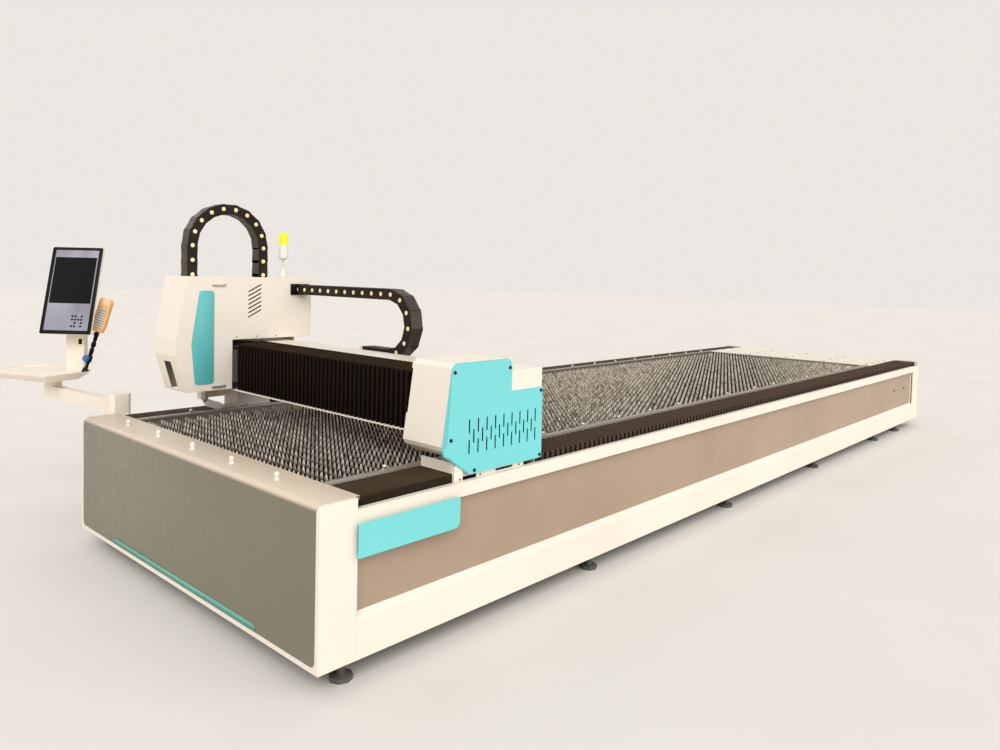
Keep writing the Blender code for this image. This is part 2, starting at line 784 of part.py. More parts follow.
def pleated(crests, section, inner, stations):
    """A folded cover: its outside goes in and out at each station, its inside is straight."""
    shape = bmesh.new()
    rings = []
    for crest, along in zip(crests, stations):
        outside = section(along, 0 if crest else PLEAT_DEPTH)
        loop = outside + inner(along)[::-1]
        rings.append([shape.verts.new(point) for point in loop])
    count = len(rings[0])
    for first, second in zip(rings, rings[1:]):
        for i in range(count):
            k = (i + 1) % count
            shape.faces.new((first[i], first[k], second[k], second[i]))
    for ring in (rings[0], rings[-1]):
        for i in range(count // 2 - 1):
            shape.faces.new((ring[i], ring[i + 1], ring[count - 2 - i], ring[count - 1 - i]))
    return shape


def folds(start, end, pleats):
    count = 2 * pleats + 1
    spots = [start + (end - start) * i / (count - 1) for i in range(count)]
    return spots, [i % 2 == 1 for i in range(count)]


def rail_bellows(start, end, pleats):
    """Cover of one bed rail: two walls and a roof."""
    spots, crests = folds(start, end, pleats)
    low, high = BELLOWS_OUTER, RAIL_ZONE - OVERRUN

    def section(x, inset):
        a, b, top = low + inset / 2, high - inset / 2, BELLOWS_TOP - inset
        return [(x, a, BELLOWS_BOTTOM), (x, a, top), (x, b, top), (x, b, BELLOWS_BOTTOM)]

    def inner(x):
        wall = BELLOWS_WALL + PLEAT_DEPTH / 2
        roof = BELLOWS_TOP - PLEAT_DEPTH - BELLOWS_WALL
        a, b = low + wall, high - wall
        return [(x, a, BELLOWS_BOTTOM), (x, a, roof), (x, b, roof), (x, b, BELLOWS_BOTTOM)]

    return pleated(crests, section, inner, spots)


def bracket_front():
    return CARRIAGE_START - BRACKET_THICKNESS * 2


def bracket_rear():
    return CARRIAGE_START + CARRIAGE_LENGTH + BRACKET_THICKNESS * 2


def build_rail_bellows():
    near_run = (END_CAP_DEPTH + CLEARANCE, bracket_front() - CLEARANCE)
    far_run = (bracket_rear() + CLEARANCE, BED_LENGTH - PLATE - CLEARANCE)
    for side in ("near", "far"):
        shape = sided(side, lambda: rail_bellows(*near_run, SHUT_PLEATS))
        add_part(f"{side}_bellows_front", shape, "bellows_cloth", "bed")
        shape = sided(side, lambda: rail_bellows(*far_run, OPEN_PLEATS))
        add_part(f"{side}_bellows_rear", shape, "bellows_cloth", "bed")


# Gantry


def carriage():
    """Plate on the two rail blocks, with an upstand that carries the beam."""
    low = RAIL_OFFSET - BLOCK_WIDTH / 2
    high = RAIL_OFFSET + BLOCK_WIDTH / 2
    base = GIRDER_TOP + RAIL_HEIGHT + CLEARANCE
    top = base + BLOCK_HEIGHT
    shape = bmesh.new()
    for x in (CARRIAGE_START, CARRIAGE_START + CARRIAGE_LENGTH - BLOCK_LENGTH):
        box(shape, (x, low, base), (x + BLOCK_LENGTH, high, top + OVERRUN))
        for y in (low, RAIL_OFFSET + RAIL_WIDTH / 2 + CLEARANCE * 2):
            width = (BLOCK_WIDTH - RAIL_WIDTH) / 2 - CLEARANCE * 2
            box(shape, (x, y, base - RAIL_HEIGHT / 2), (x + BLOCK_LENGTH, y + width, base + OVERRUN))
    return shape


def carriage_plate():
    base = GIRDER_TOP + RAIL_HEIGHT + CLEARANCE + BLOCK_HEIGHT
    return one_box(
        (CARRIAGE_START, BELLOWS_OUTER + BELLOWS_WALL, base),
        (CARRIAGE_START + CARRIAGE_LENGTH, RAIL_ZONE - OVERRUN * 2, base + CARRIAGE_PLATE))


def carriage_upstand():
    """Upstand under the beam's end, and the plates that the rail covers are fixed to."""
    shape = bmesh.new()
    base = GIRDER_TOP + RAIL_HEIGHT + BLOCK_HEIGHT + CARRIAGE_PLATE
    box(
        shape,
        (BOTTOM_PLATE_REAR + OVERRUN, RAIL_OFFSET - BLOCK_WIDTH, base - OVERRUN),
        (BEAM_REAR - OVERRUN, RAIL_OFFSET + BLOCK_WIDTH, BEAM_BOTTOM - CLEARANCE))
    for x in (bracket_front(), bracket_rear() - BRACKET_THICKNESS):
        box(
            shape,
            (x, BELLOWS_OUTER, BELLOWS_BOTTOM),
            (x + BRACKET_THICKNESS, RAIL_ZONE - OVERRUN, CASING_FLOOR - CLEARANCE * 4))
        inward = x if x < CARRIAGE_START else x - BRACKET_THICKNESS * 2
        box(
            shape,
            (inward, BELLOWS_OUTER + BELLOWS_WALL * 2, base - CARRIAGE_PLATE / 2),
            (inward + BRACKET_THICKNESS * 3, RAIL_ZONE - OVERRUN * 3, base - OVERRUN * 2))
    return shape


def build_carriages():
    for side in ("near", "far"):
        obj = add_part(f"{side}_carriage", sided(side, carriage_plate), "white_paint", "gantry")
        join(obj, sided(side, carriage), "gantry")
        join(obj, sided(side, carriage_upstand), "gantry")


def build_beam():
    near_end = CASING_OUTER + WALL * 3
    far_end = BED_WIDTH - near_end
    shape = one_box((BEAM_FRONT, near_end, BEAM_BOTTOM), (BEAM_REAR, far_end, BEAM_TOP))
    add_part("gantry_beam", shape, "frame_paint", "gantry")
    inner = CASING_OUTER + CASING_WIDTH
    for name, height in (("lower", BEAM_RAIL_LOWER), ("upper", BEAM_RAIL_UPPER)):
        rail = one_box(
            (BEAM_FRONT - BEAM_RAIL_HEIGHT, inner + WALL, height),
            (BEAM_FRONT - CLEARANCE, BED_WIDTH - CASING_OUTER - FAR_CASING_WIDTH - WALL, height + BEAM_RAIL_WIDTH))
        add_part(f"beam_rail_{name}", rail, "bright_steel", "gantry")


def toothed_plate(front, rear, start, end, low, high):
    """A flat strip along the beam, its front edge cut into small teeth."""
    teeth = round((end - start) / TOOTH_PITCH)
    pitch = (end - start) / teeth
    points = []
    for i in range(teeth):
        y = start + pitch * i
        points.append((front + TOOTH_DEPTH, y))
        points.append((front, y + pitch / 2))
    points += [(front + TOOTH_DEPTH, end), (rear, end), (rear, start)]
    return one_prism(points, "Z", low, high)


def build_beam_plates():
    start = CASING_OUTER + CASING_WIDTH + CLEARANCE
    end = BED_WIDTH - CASING_OUTER - FAR_CASING_WIDTH - CLEARANCE
    top = BEAM_COVER_TOP + CLEARANCE
    shape = toothed_plate(BEAM_COVER_REACH - RIM, TOP_PLATE_REAR, start, end, top, top + SHEET)
    plate = add_part("beam_top_plate", shape, "white_paint", "gantry")
    foot = one_box(
        (TOP_PLATE_REAR - RIM, start + WALL, BEAM_TOP + CLEARANCE),
        (TOP_PLATE_REAR - WALL, end - WALL, top + SHEET / 2))
    join(plate, foot, "gantry")
    low = BEAM_COVER_BOTTOM - CLEARANCE - SHEET * 2
    shape = toothed_plate(
        BEAM_COVER_FRONT - TOOTH_DEPTH / 2, BOTTOM_PLATE_REAR, start, end, low, low + SHEET * 2)
    plate = add_part("beam_bottom_plate", shape, "white_paint", "gantry")
    web = one_box(
        (BOTTOM_PLATE_REAR - RIM, start + WALL, low + SHEET),
        (BOTTOM_PLATE_REAR - WALL, end - WALL, BEAM_BOTTOM - CLEARANCE))
    join(plate, web, "gantry")


def cover_section(inset):
    """Front view of the beam's folded cover: a C that opens to the rear."""
    front = BEAM_COVER_FRONT + inset
    top = BEAM_COVER_TOP - inset
    bottom = BEAM_COVER_BOTTOM + inset
    return [(BEAM_COVER_FOOT, bottom), (front, bottom), (front, top), (BEAM_COVER_REACH, top)]


def beam_bellows(start, end, pleats):
    spots, crests = folds(start, end, pleats)

    def section(y, inset):
        return [(x, y, z) for x, z in cover_section(inset)]

    def inner(y):
        return [(x, y, z) for x, z in cover_section(PLEAT_DEPTH + BELLOWS_WALL / 2)]

    return pleated(crests, section, inner, spots)


def build_beam_bellows():
    near = CASING_OUTER + CASING_WIDTH + CLEARANCE
    far = BED_WIDTH - CASING_OUTER - FAR_CASING_WIDTH - CLEARANCE
    shape = beam_bellows(near, HEAD_SIDE - CLEARANCE, BEAM_PLEATS)
    add_part("beam_bellows_near", shape, "bellows_cloth", "gantry")
    shape = beam_bellows(HEAD_SIDE + HEAD_WIDTH + CLEARANCE, far, BEAM_SHUT_PLEATS)
    add_part("beam_bellows_far", shape, "bellows_cloth", "gantry")


def casing_outline():
    """Side view of the near casing: slanted front, chin, and the step that clears the chain."""
    front = GANTRY_FRONT
    rear = GANTRY_FRONT + CASING_LENGTH
    lean = EDGE_RADIUS + RIM
    return [
        (front, CASING_CHIN), (front + lean, CASING_TOP - RIM), (front + lean + RIM, CASING_TOP),
        (NOTCH_START, CASING_TOP), (NOTCH_START, NOTCH_TOP), (rear, NOTCH_TOP),
        (rear, CASING_FLOOR), (front + 2 * lean, CASING_FLOOR), (front + PLATE, CASING_CHIN - RIM),
    ]


def inset_outline(points, amount):
    """The outline moved inwards by an even wall."""
    area = sum(a[0] * b[1] - b[0] * a[1] for a, b in zip(points, points[1:] + points[:1]))
    sign = 1 if area > 0 else -1
    lines = []
    for a, b in zip(points, points[1:] + points[:1]):
        along = Vector(b) - Vector(a)
        normal = Vector((-along.y, along.x)).normalized() * sign
        lines.append((Vector(a) + normal * amount, along))
    moved = []
    for (p, d), (q, e) in zip(lines[-1:] + lines[:-1], lines):
        cross = d.x * e.y - d.y * e.x
        t = ((q - p).x * e.y - (q - p).y * e.x) / cross
        moved.append(tuple(p + d * t))
    return moved


def build_near_casing():
    outer = CASING_OUTER + SIDE_PLATE_THICKNESS + CLEARANCE
    inner = CASING_OUTER + CASING_WIDTH
    points = casing_outline()
    obj = add_part("near_casing", one_prism(points, "Y", outer, inner), "white_paint", "gantry")
    hollow = inset_outline(points, WALL)
    hollow[-3] = (hollow[-3][0], CASING_FLOOR - OVERRUN)
    hollow[-2] = (hollow[-2][0], CASING_FLOOR - OVERRUN)
    carve(obj, one_prism(hollow, "Y", outer + WALL, inner - WALL), "gantry")
    mouth = one_box(
        (BEAM_COVER_FRONT - OVERRUN * 2, inner - WALL * 2, BEAM_COVER_BOTTOM - OVERRUN * 3),
        (TOP_PLATE_REAR + OVERRUN, inner + OVERRUN, BEAM_COVER_TOP + OVERRUN * 2))
    carve(obj, mouth, "gantry")
    rear = one_box(
        (TOP_PLATE_REAR, inner - WALL * 2, BEAM_BOTTOM - OVERRUN),
        (BEAM_REAR + OVERRUN, inner + OVERRUN, BEAM_TOP + OVERRUN))
    carve(obj, rear, "gantry")
    slot = one_box(
        (NOTCH_START + SHEET / 2, CHAIN_SLOT_START, chain_floor() - OVERRUN),
        (CHAIN_START + CHAIN_WIDTH + OVERRUN, inner + OVERRUN, NOTCH_TOP + OVERRUN))
    carve(obj, slot, "gantry")


def side_plate_outline():
    front = GANTRY_FRONT
    rear = front + CASING_LENGTH
    lean = EDGE_RADIUS + PLATE / 2
    step = NOTCH_START + RIM
    return [
        (front, CASING_CHIN), (front + lean, CASING_TOP - RIM), (front + lean + RIM, CASING_TOP),
        (step - RIM, CASING_TOP), (step, CASING_TOP - RIM * 2), (step, SIDE_PLATE_NOTCH),
        (rear, SIDE_PLATE_NOTCH), (rear, SIDE_PLATE_BOTTOM), (front + SIDE_PLATE_TOE, SIDE_PLATE_BOTTOM),
        (front + PLATE / 2, CASING_CHIN - 2 * PLATE - PLATE / 2),
    ]


def build_side_plate():
    face = CASING_OUTER
    shape = one_prism(side_plate_outline(), "Y", face, face + SIDE_PLATE_THICKNESS)
    plate = add_part("near_side_plate", shape, "teal_paint", "gantry")
    slots = bmesh.new()
    for row in range(VENT_ROWS):
        middle = row % 2 == 1
        count = VENT_COLUMNS - 1 if middle else VENT_COLUMNS
        first = VENT_START + (VENT_PITCH / 2 if middle else 0)
        low = VENT_FLOOR + VENT_ROW_RISE * row
        for x in places(first, VENT_PITCH, count):
            box(
                slots,
                (x, face - OVERRUN, low),
                (x + VENT_WIDTH, face + SIDE_PLATE_THICKNESS + OVERRUN, low + VENT_HEIGHT))
    carve(plate, slots, "gantry")


def build_far_casing():
    inner = BED_WIDTH - CASING_OUTER - FAR_CASING_WIDTH
    outer = BED_WIDTH - CASING_OUTER
    front = BEAM_COVER_FRONT
    rear = GANTRY_FRONT + CASING_LENGTH
    points = [
        (front, CASING_FLOOR), (front, FAR_CASING_TOP - RIM), (front + RIM, FAR_CASING_TOP),
        (rear, FAR_CASING_TOP), (rear, CASING_FLOOR),
    ]
    obj = add_part("far_casing", one_prism(points, "Y", inner, outer), "white_paint", "gantry")
    hollow = inset_outline(points, WALL)
    hollow[0] = (hollow[0][0], CASING_FLOOR - OVERRUN)
    hollow[-1] = (hollow[-1][0], CASING_FLOOR - OVERRUN)
    carve(obj, one_prism(hollow, "Y", inner - OVERRUN, outer - WALL), "gantry")


def drive_motor():
    """Servo motor on its gearbox, standing on the carriage behind the beam."""
    shape = bmesh.new()
    base = GIRDER_TOP + RAIL_HEIGHT + CLEARANCE + BLOCK_HEIGHT + CARRIAGE_PLATE + CLEARANCE
    x = BEAM_REAR + BLOCK_LENGTH * 3 / 4
    y = RAIL_OFFSET
    profile = [
        (BLOCK_WIDTH / 2, base), (BLOCK_WIDTH / 2, base + BLOCK_LENGTH),
        (BLOCK_WIDTH / 3, base + BLOCK_LENGTH), (BLOCK_WIDTH / 3, base + BLOCK_LENGTH * 3 / 2),
        (BLOCK_WIDTH / 2 - WALL, base + BLOCK_LENGTH * 3 / 2),
        (BLOCK_WIDTH / 2 - WALL, base + BLOCK_LENGTH * 3),
    ]
    turned(shape, profile, (x, y), 16)
    return shape


def build_drives():
    for side in ("near", "far"):
        add_part(f"{side}_drive_motor", sided(side, drive_motor), "frame_paint", "gantry", True)


# Energy chains


def link_run(start, end, low, high, x0, x1):
    """A straight run of chain along Y: links parted by narrow grooves above and below."""
    count = max(2, round((end - start) / CHAIN_PITCH))
    pitch = (end - start) / count
    groove = CHAIN_NOTCH
    lower, upper = [], []
    for i in range(count):
        y = start + pitch * i
        lower += [(y + groove, low), (y + pitch - groove, low)]
        upper += [(y + groove, high), (y + pitch - groove, high)]
        if i < count - 1:
            lower.append((y + pitch, low + groove * 2))
            upper.append((y + pitch, high - groove * 2))
    outline = [(start, low)] + lower + [(end, low), (end, high)] + upper[::-1] + [(start, high)]
    return one_prism(outline, "X", x0, x1)


def link_arc(centre, radius, start, end, count):
    """Side view of bent chain: an arc whose rim and bore step in between the links."""
    half = CHAIN_HEIGHT / 2
    outer, inner = [], []
    for i in range(count * 2 + 1):
        inset = CHAIN_NOTCH if i % 2 == 0 and 0 < i < count * 2 else 0
        angle = math.radians(start + (end - start) * i / (count * 2))
        for points, r in ((outer, radius + half - inset), (inner, radius - half + inset / 2)):
            points.append((centre[0] + r * math.cos(angle), centre[1] + r * math.sin(angle)))
    return outer + inner[::-1]


def chain_low_line():
    return CHAIN_TOP_LINE - 2 * CHAIN_RADIUS


def build_beam_chain():
    half = CHAIN_HEIGHT / 2
    x0, x1 = CHAIN_START, CHAIN_START + CHAIN_WIDTH
    upper = link_run(
        CHAIN_BEND_PLACE + CLEARANCE, HEAD_SIDE - CLEARANCE,
        CHAIN_TOP_LINE - half, CHAIN_TOP_LINE + half, x0, x1)
    add_part("chain_upper_run", upper, "chain_plastic", "head")
    centre = (CHAIN_BEND_PLACE, (CHAIN_TOP_LINE + chain_low_line()) / 2)
    bend = one_prism(link_arc(centre, CHAIN_RADIUS, 90, 270, 6), "X", x0, x1)
    add_part("chain_bend", bend, "chain_plastic", "chain_bend")
    low = chain_low_line()
    lower = link_run(CHAIN_BEND_PLACE + CLEARANCE, CHAIN_ANCHOR, low - half, low + half, x0, x1)
    add_part("chain_lower_run", lower, "chain_plastic", "gantry")


def chain_floor():
    return chain_low_line() - CHAIN_HEIGHT / 2


def build_chain_tray():
    """A channel behind the beam, with the stand that holds the chain's fixed end."""
    start = CASING_OUTER + CASING_WIDTH + CLEARANCE
    end = BED_WIDTH - CASING_OUTER - FAR_CASING_WIDTH - CLEARANCE
    x0, x1 = BEAM_REAR + CLEARANCE, CHAIN_START + CHAIN_WIDTH + TRAY_WALL * 3
    top = chain_floor() - CLEARANCE
    outline = [
        (x0, BEAM_BOTTOM + RIM), (x0, top), (x1 - TRAY_WALL, top), (x1 - TRAY_WALL, top + RIM),
        (x1, top + RIM), (x1, top - TRAY_WALL), (x0 + TRAY_WALL, top - TRAY_WALL),
        (x0 + TRAY_WALL, BEAM_BOTTOM + RIM),
    ]
    obj = add_part("chain_tray", one_prism(outline, "Y", start, end), "grey_plate", "gantry")
    stand = one_box(
        (CHAIN_START, CHAIN_ANCHOR + CLEARANCE, top - TRAY_WALL / 2),
        (CHAIN_START + CHAIN_WIDTH, CHAIN_ANCHOR + RIM, chain_floor() + CHAIN_HEIGHT))
    join(obj, stand, "gantry")


# Head


def head_outline():
    """Side view of the head cover: a leg before the beam and an arm over it."""
    return [
        (HEAD_FRONT_TOP, HEAD_TOP), (HEAD_FRONT_MIDDLE, HEAD_MIDDLE_UPPER),
        (HEAD_FRONT_MIDDLE, HEAD_MIDDLE_LOWER), (HEAD_FRONT_BOTTOM, HEAD_BOTTOM),
        (LEG_BACK, HEAD_BOTTOM), (LEG_BACK, ARM_BOTTOM), (ARM_END, ARM_BOTTOM), (ARM_END, HEAD_TOP),
    ]


def build_head_cover():
    near, far = HEAD_SIDE, HEAD_SIDE + HEAD_WIDTH
    outline = head_outline()
    cover = add_part("head_cover", one_prism(outline, "Y", near, far), "white_paint", "head")
    hollow = inset_outline(outline, HEAD_SHELL)
    hollow[3] = (hollow[3][0], HEAD_BOTTOM - OVERRUN)
    hollow[4] = (LEG_BACK + RIM, HEAD_BOTTOM - OVERRUN)
    hollow[5] = (LEG_BACK + RIM, ARM_BOTTOM + HEAD_SHELL)
    carve(cover, one_prism(hollow, "Y", near + HEAD_SHELL, far - HEAD_SHELL), "head")
    cuts = bmesh.new()
    middle = (near + far) / 2
    half = WINDOW_WIDTH / 2
    box(
        cuts,
        (HEAD_FRONT_MIDDLE - OVERRUN, middle - half, WINDOW_FLOOR),
        (HEAD_FRONT_BOTTOM + OVERRUN * 2, middle + half, WINDOW_TOP))
    side = CHAIN_HEIGHT / 2 + SHEET
    box(
        cuts,
        (CHAIN_START - SHEET, near - OVERRUN, CHAIN_TOP_LINE - side),
        (CHAIN_START + CHAIN_WIDTH + SHEET, near + OVERRUN, CHAIN_TOP_LINE + side))
    reach = CHAIN_HEIGHT / 2 + SHEET
    for x in (Z_ARCH_FRONT, Z_ARCH_FRONT + 2 * Z_ARCH_RADIUS):
        box(
            cuts,
            (x - reach, Z_ARCH_SIDE - SHEET, HEAD_TOP - OVERRUN * 2),
            (x + reach, Z_ARCH_SIDE + CHAIN_WIDTH + SHEET, HEAD_TOP + OVERRUN))
    x0, x1 = HEAD_VENT_START, HEAD_VENT_START + HEAD_VENT_RUN
    for z in places(HEAD_VENT_FLOOR, HEAD_VENT_PITCH, HEAD_VENTS):
        rise, wide = HEAD_VENT_RISE, HEAD_VENT_WIDTH
        quad = [(x0, z), (x1, z + rise), (x1, z + rise + wide), (x0, z + wide)]
        prism(cuts, quad, "Y", near - OVERRUN, near + OVERRUN)
    carve(cover, cuts, "head")


def build_head_trim():
    near = HEAD_SIDE
    outline = [
        (INLAY_FRONT_TOP, INLAY_TOP), (INLAY_BACK, INLAY_TOP), (INLAY_BACK, INLAY_BOTTOM),
        (INLAY_FRONT_BOTTOM, INLAY_BOTTOM), (INLAY_FRONT_MIDDLE, INLAY_WAIST),
    ]
    shape = one_prism(outline, "Y", near - INLAY_THICKNESS, near - CLEARANCE)
    add_part("head_inlay", shape, "teal_paint", "head")
    for name, height in latch_heights():
        shape = one_box(
            (LATCH_START, near - LATCH_THICKNESS, height),
            (latch_hinge(), near - LATCH_THICKNESS + SHEET, height + PLATE))
        obj = add_part(f"latch_{name}", shape, "bright_steel", f"latch_{name}")
        knuckle = bmesh.new()
        radius = LATCH_THICKNESS / 2 - CLEARANCE
        ends = [(radius, height + SHEET), (radius, height + PLATE - SHEET)]
        turned(knuckle, ends, (latch_hinge(), near - LATCH_THICKNESS / 2), 12)
        join(obj, knuckle, f"latch_{name}")


def latch_hinge():
    return LATCH_START + LATCH_LENGTH - PLATE / 2


def latch_heights():
    return ("upper", LATCH_UPPER), ("lower", LATCH_LOWER)


def build_head_carriage():
    """Plate on the beam rails. It carries the cover, the vertical axis and the arm's bracket."""
    near = HEAD_SIDE + HEAD_SHELL + WALL
    far = HEAD_SIDE + HEAD_WIDTH - HEAD_SHELL - WALL
    low, high = BEAM_RAIL_LOWER - RIM, BEAM_RAIL_UPPER + BEAM_RAIL_WIDTH + RIM
    front = LEG_BACK - SHEET * 2
    plate = one_box((front, near, low), (CARRIAGE_BACK, far, high))
    obj = add_part("head_carriage", plate, "grey_plate", "head")
    rest = bmesh.new()
    rail_front = BEAM_FRONT - BEAM_RAIL_HEIGHT
    for height in (BEAM_RAIL_LOWER, BEAM_RAIL_UPPER):
        for y in (near + WALL, far - WALL - BLOCK_WIDTH):
            box(
                rest,
                (CARRIAGE_BACK - OVERRUN, y, height - PLATE / 2),
                (rail_front - CLEARANCE, y + BLOCK_WIDTH, height + BEAM_RAIL_WIDTH + PLATE / 2))
    neck = HEAD_SIDE + HEAD_WIDTH / 2
    box(rest, (front, neck - RIM, high - OVERRUN), (front + RIM, neck + RIM, Z_ARCH_FOOT - RIM))
    box(
        rest,
        (front, neck - RIM, ARM_BOTTOM + HEAD_SHELL + CLEARANCE),
        (ARM_END - RIM * 2, neck + RIM, ARM_BOTTOM + RIM))
    rear = Z_ARCH_FRONT + 2 * Z_ARCH_RADIUS
    box(
        rest,
        (rear - RIM, neck - RIM + WALL, ARM_BOTTOM + RIM - OVERRUN),
        (rear + RIM, neck + RIM - WALL, Z_ARCH_FOOT - CLEARANCE))
    join(obj, rest, "head")


def build_z_axis():
    """Slide plate, cutting head and nozzle, on the carriage's front."""
    front = LEG_BACK - SHEET * 2
    middle = HEAD_SIDE + HEAD_WIDTH / 2
    face = NOZZLE_X + TORCH_RADIUS
    low = BEAM_RAIL_LOWER
    plate = one_box(
        (face + CLEARANCE, middle - RIM * 2, low), (front - CLEARANCE, middle + RIM * 2, Z_ARCH_FOOT - RIM))
    obj = add_part("z_slide", plate, "grey_plate", "z_axis")
    shelf = one_box(
        (Z_ARCH_FRONT - RIM, Z_ARCH_SIDE, Z_ARCH_FOOT - RIM * 2),
        (face + RIM, middle + RIM, Z_ARCH_FOOT - CLEARANCE))
    join(obj, shelf, "z_axis")
    torch = bmesh.new()
    r = TORCH_RADIUS
    profile = [
        (r * TORCH_TIP_SHARE, HEAD_BOTTOM - RIM), (r * TORCH_NECK_SHARE, HEAD_BOTTOM + PLATE),
        (r * TORCH_NECK_SHARE, low - RIM), (r, low), (r, ARM_BOTTOM),
        (r * TORCH_CAP_SHARE, ARM_BOTTOM + RIM), (r * TORCH_CAP_SHARE, ARM_BOTTOM + BLOCK_LENGTH),
    ]
    turned(torch, profile, (NOZZLE_X, middle), 20)
    add_part("cutting_head", torch, "grey_plate", "z_axis", True)
    nozzle = bmesh.new()
    top = HEAD_BOTTOM - RIM - CLEARANCE
    tip, cone, shank = [r * share for share in NOZZLE_WIDTH_SHARES]
    rim = NOZZLE_TIP + RIM
    profile = [(tip, NOZZLE_TIP), (cone, rim), (shank, rim + SHEET), (shank, top)]
    turned(nozzle, profile, (NOZZLE_X, middle), 20)
    add_part("nozzle", nozzle, "copper", "z_axis", True)


def build_z_chain():
    """The arch of energy chain on top of the head: two legs joined by a half circle."""
    centre = (Z_ARCH_FRONT + Z_ARCH_RADIUS, Z_ARCH_CENTRE)
    half = CHAIN_HEIGHT / 2
    arch = link_arc(centre, Z_ARCH_RADIUS, 0, 180, 9)
    count = len(arch) // 2
    rim, bore = arch[:count], arch[count:]
    left, right = Z_ARCH_FRONT, Z_ARCH_FRONT + 2 * Z_ARCH_RADIUS
    foot = Z_ARCH_FOOT
    outline = [(right + half, foot)] + leg_side(right + half, -1) + rim
    outline += leg_side(left - half, 1)[::-1] + [(left - half, foot), (left + half, foot)]
    outline += leg_side(left + half, -1) + bore
    outline += leg_side(right - half, 1)[::-1] + [(right - half, foot)]
    shape = one_prism(outline, "Y", Z_ARCH_SIDE, Z_ARCH_SIDE + CHAIN_WIDTH)
    add_part("z_chain", shape, "chain_plastic", "head")


def leg_side(x, inward):
    """One edge of a straight leg, with a notch between its links, from the foot up."""
    count = round((Z_ARCH_CENTRE - Z_ARCH_FOOT) / CHAIN_PITCH)
    pitch = (Z_ARCH_CENTRE - Z_ARCH_FOOT) / count
    points = []
    for i in range(1, count):
        z = Z_ARCH_FOOT + pitch * i
        points += [(x, z - CHAIN_NOTCH), (x + inward * CHAIN_NOTCH, z), (x, z + CHAIN_NOTCH)]
    return points


def build_beacon():
    centre = (BEACON_PLACE, BEACON_SIDE)
    r = BEACON_RADIUS
    base = HEAD_TOP + CLEARANCE
    shape = bmesh.new()
    profile = [(r * wide, base + r * high) for wide, high in BEACON_BASE_SHARES]
    turned(shape, profile, centre, 16)
    add_part("beacon_base", shape, "white_paint", "head", True)
    lens = bmesh.new()
    low = profile[-1][1] + CLEARANCE
    cover = [(r * wide, low + r * high) for wide, high in BEACON_LENS_SHARES]
    turned(lens, cover, centre, 16)
    add_part("beacon_lens", lens, "beacon_lens", "head", True)


# Console


def pivot():
    return (ARM_PIVOT_X, BED_WIDTH + ARM_PIVOT_OUT)


def hub():
    x, y = pivot()
    return (x - ARM_LENGTH * math.sin(ARM_YAW), y + ARM_LENGTH * math.cos(ARM_YAW))


def build_console_bracket():
    """Block on the far cheek of the near end cap, with the arm's upright pin."""
    x, y = pivot()
    half = KNUCKLE_HALF
    low = (x - half, BED_WIDTH + CLEARANCE, BRACKET_BOTTOM)
    high = (x + half, y + half, ARM_BASE - CLEARANCE)
    obj = add_part("console_bracket", one_box(low, high), "white_paint", "bed")
    pin = bmesh.new()
    turned(pin, [(PIN_RADIUS, ARM_BASE - OVERRUN), (PIN_RADIUS, ARM_BASE + PIN_LENGTH)], (x, y), 24)
    join(obj, pin, "bed")


def knuckle_outline(x, y):
    """A square with cut corners, so that it clears the end cap as it turns."""
    a, b = KNUCKLE_HALF, KNUCKLE_HALF - KNUCKLE_CUT
    corners = [(a, b), (b, a), (-b, a), (-a, b), (-a, -b), (-b, -a), (b, -a), (a, -b)]
    return [(x + dx, y + dy) for dx, dy in corners]


def build_console_arm():
    x, y = pivot()
    half = ARM_THICKNESS / 2
    end = y + ARM_LENGTH
    low, high = ARM_BASE, ARM_BASE + ARM_DEPTH
    shape = bmesh.new()
    prism(shape, [(y, low), (end, low), (end, high - PLATE), (y, high)], "X", x - half, x + half)
    turn(shape, ARM_YAW, (x, y, low))
    arm = add_part("console_arm", shape, "white_paint", "console_arm", True)
    ends = bmesh.new()
    prism(ends, knuckle_outline(x, y), "Z", low, KNUCKLE_TOP)
    turned(ends, [(HUB_RADIUS, low - PLATE / 2), (HUB_RADIUS, TRAY_BASE - CLEARANCE)], hub(), 24)
    turned(ends, [(PIN_RADIUS, high), (PIN_RADIUS, TRAY_BASE + RIM)], hub(), 24)
    join(arm, ends, "console_arm")
    bore = bmesh.new()
    wide = PIN_RADIUS + PIN_PLAY
    turned(bore, [(wide, low - OVERRUN), (wide, low + PIN_LENGTH + SHEET)], (x, y), 24)
    carve(arm, bore, "console_arm")


def tray_outline(inset):
    """Plan of the tray about its hub. The corner beside the near end is square."""
    back, front = TRAY_BACK - inset, -TRAY_FRONT + inset
    near, far = -TRAY_NEAR + inset, TRAY_FAR - inset
    cut = TRAY_CHAMFER
    return [
        (front, near), (back - cut, near), (back, near + cut), (back, far - cut),
        (back - cut, far), (front + cut, far), (front, far - cut),
    ]


def tray_point(a, b):
    """A point of the tray's own plan, turned and moved to its place over the hub."""
    x, y = hub()
    cos, sin = math.cos(TRAY_TURN), math.sin(TRAY_TURN)
    return (x + a * cos - b * sin, y + a * sin + b * cos)


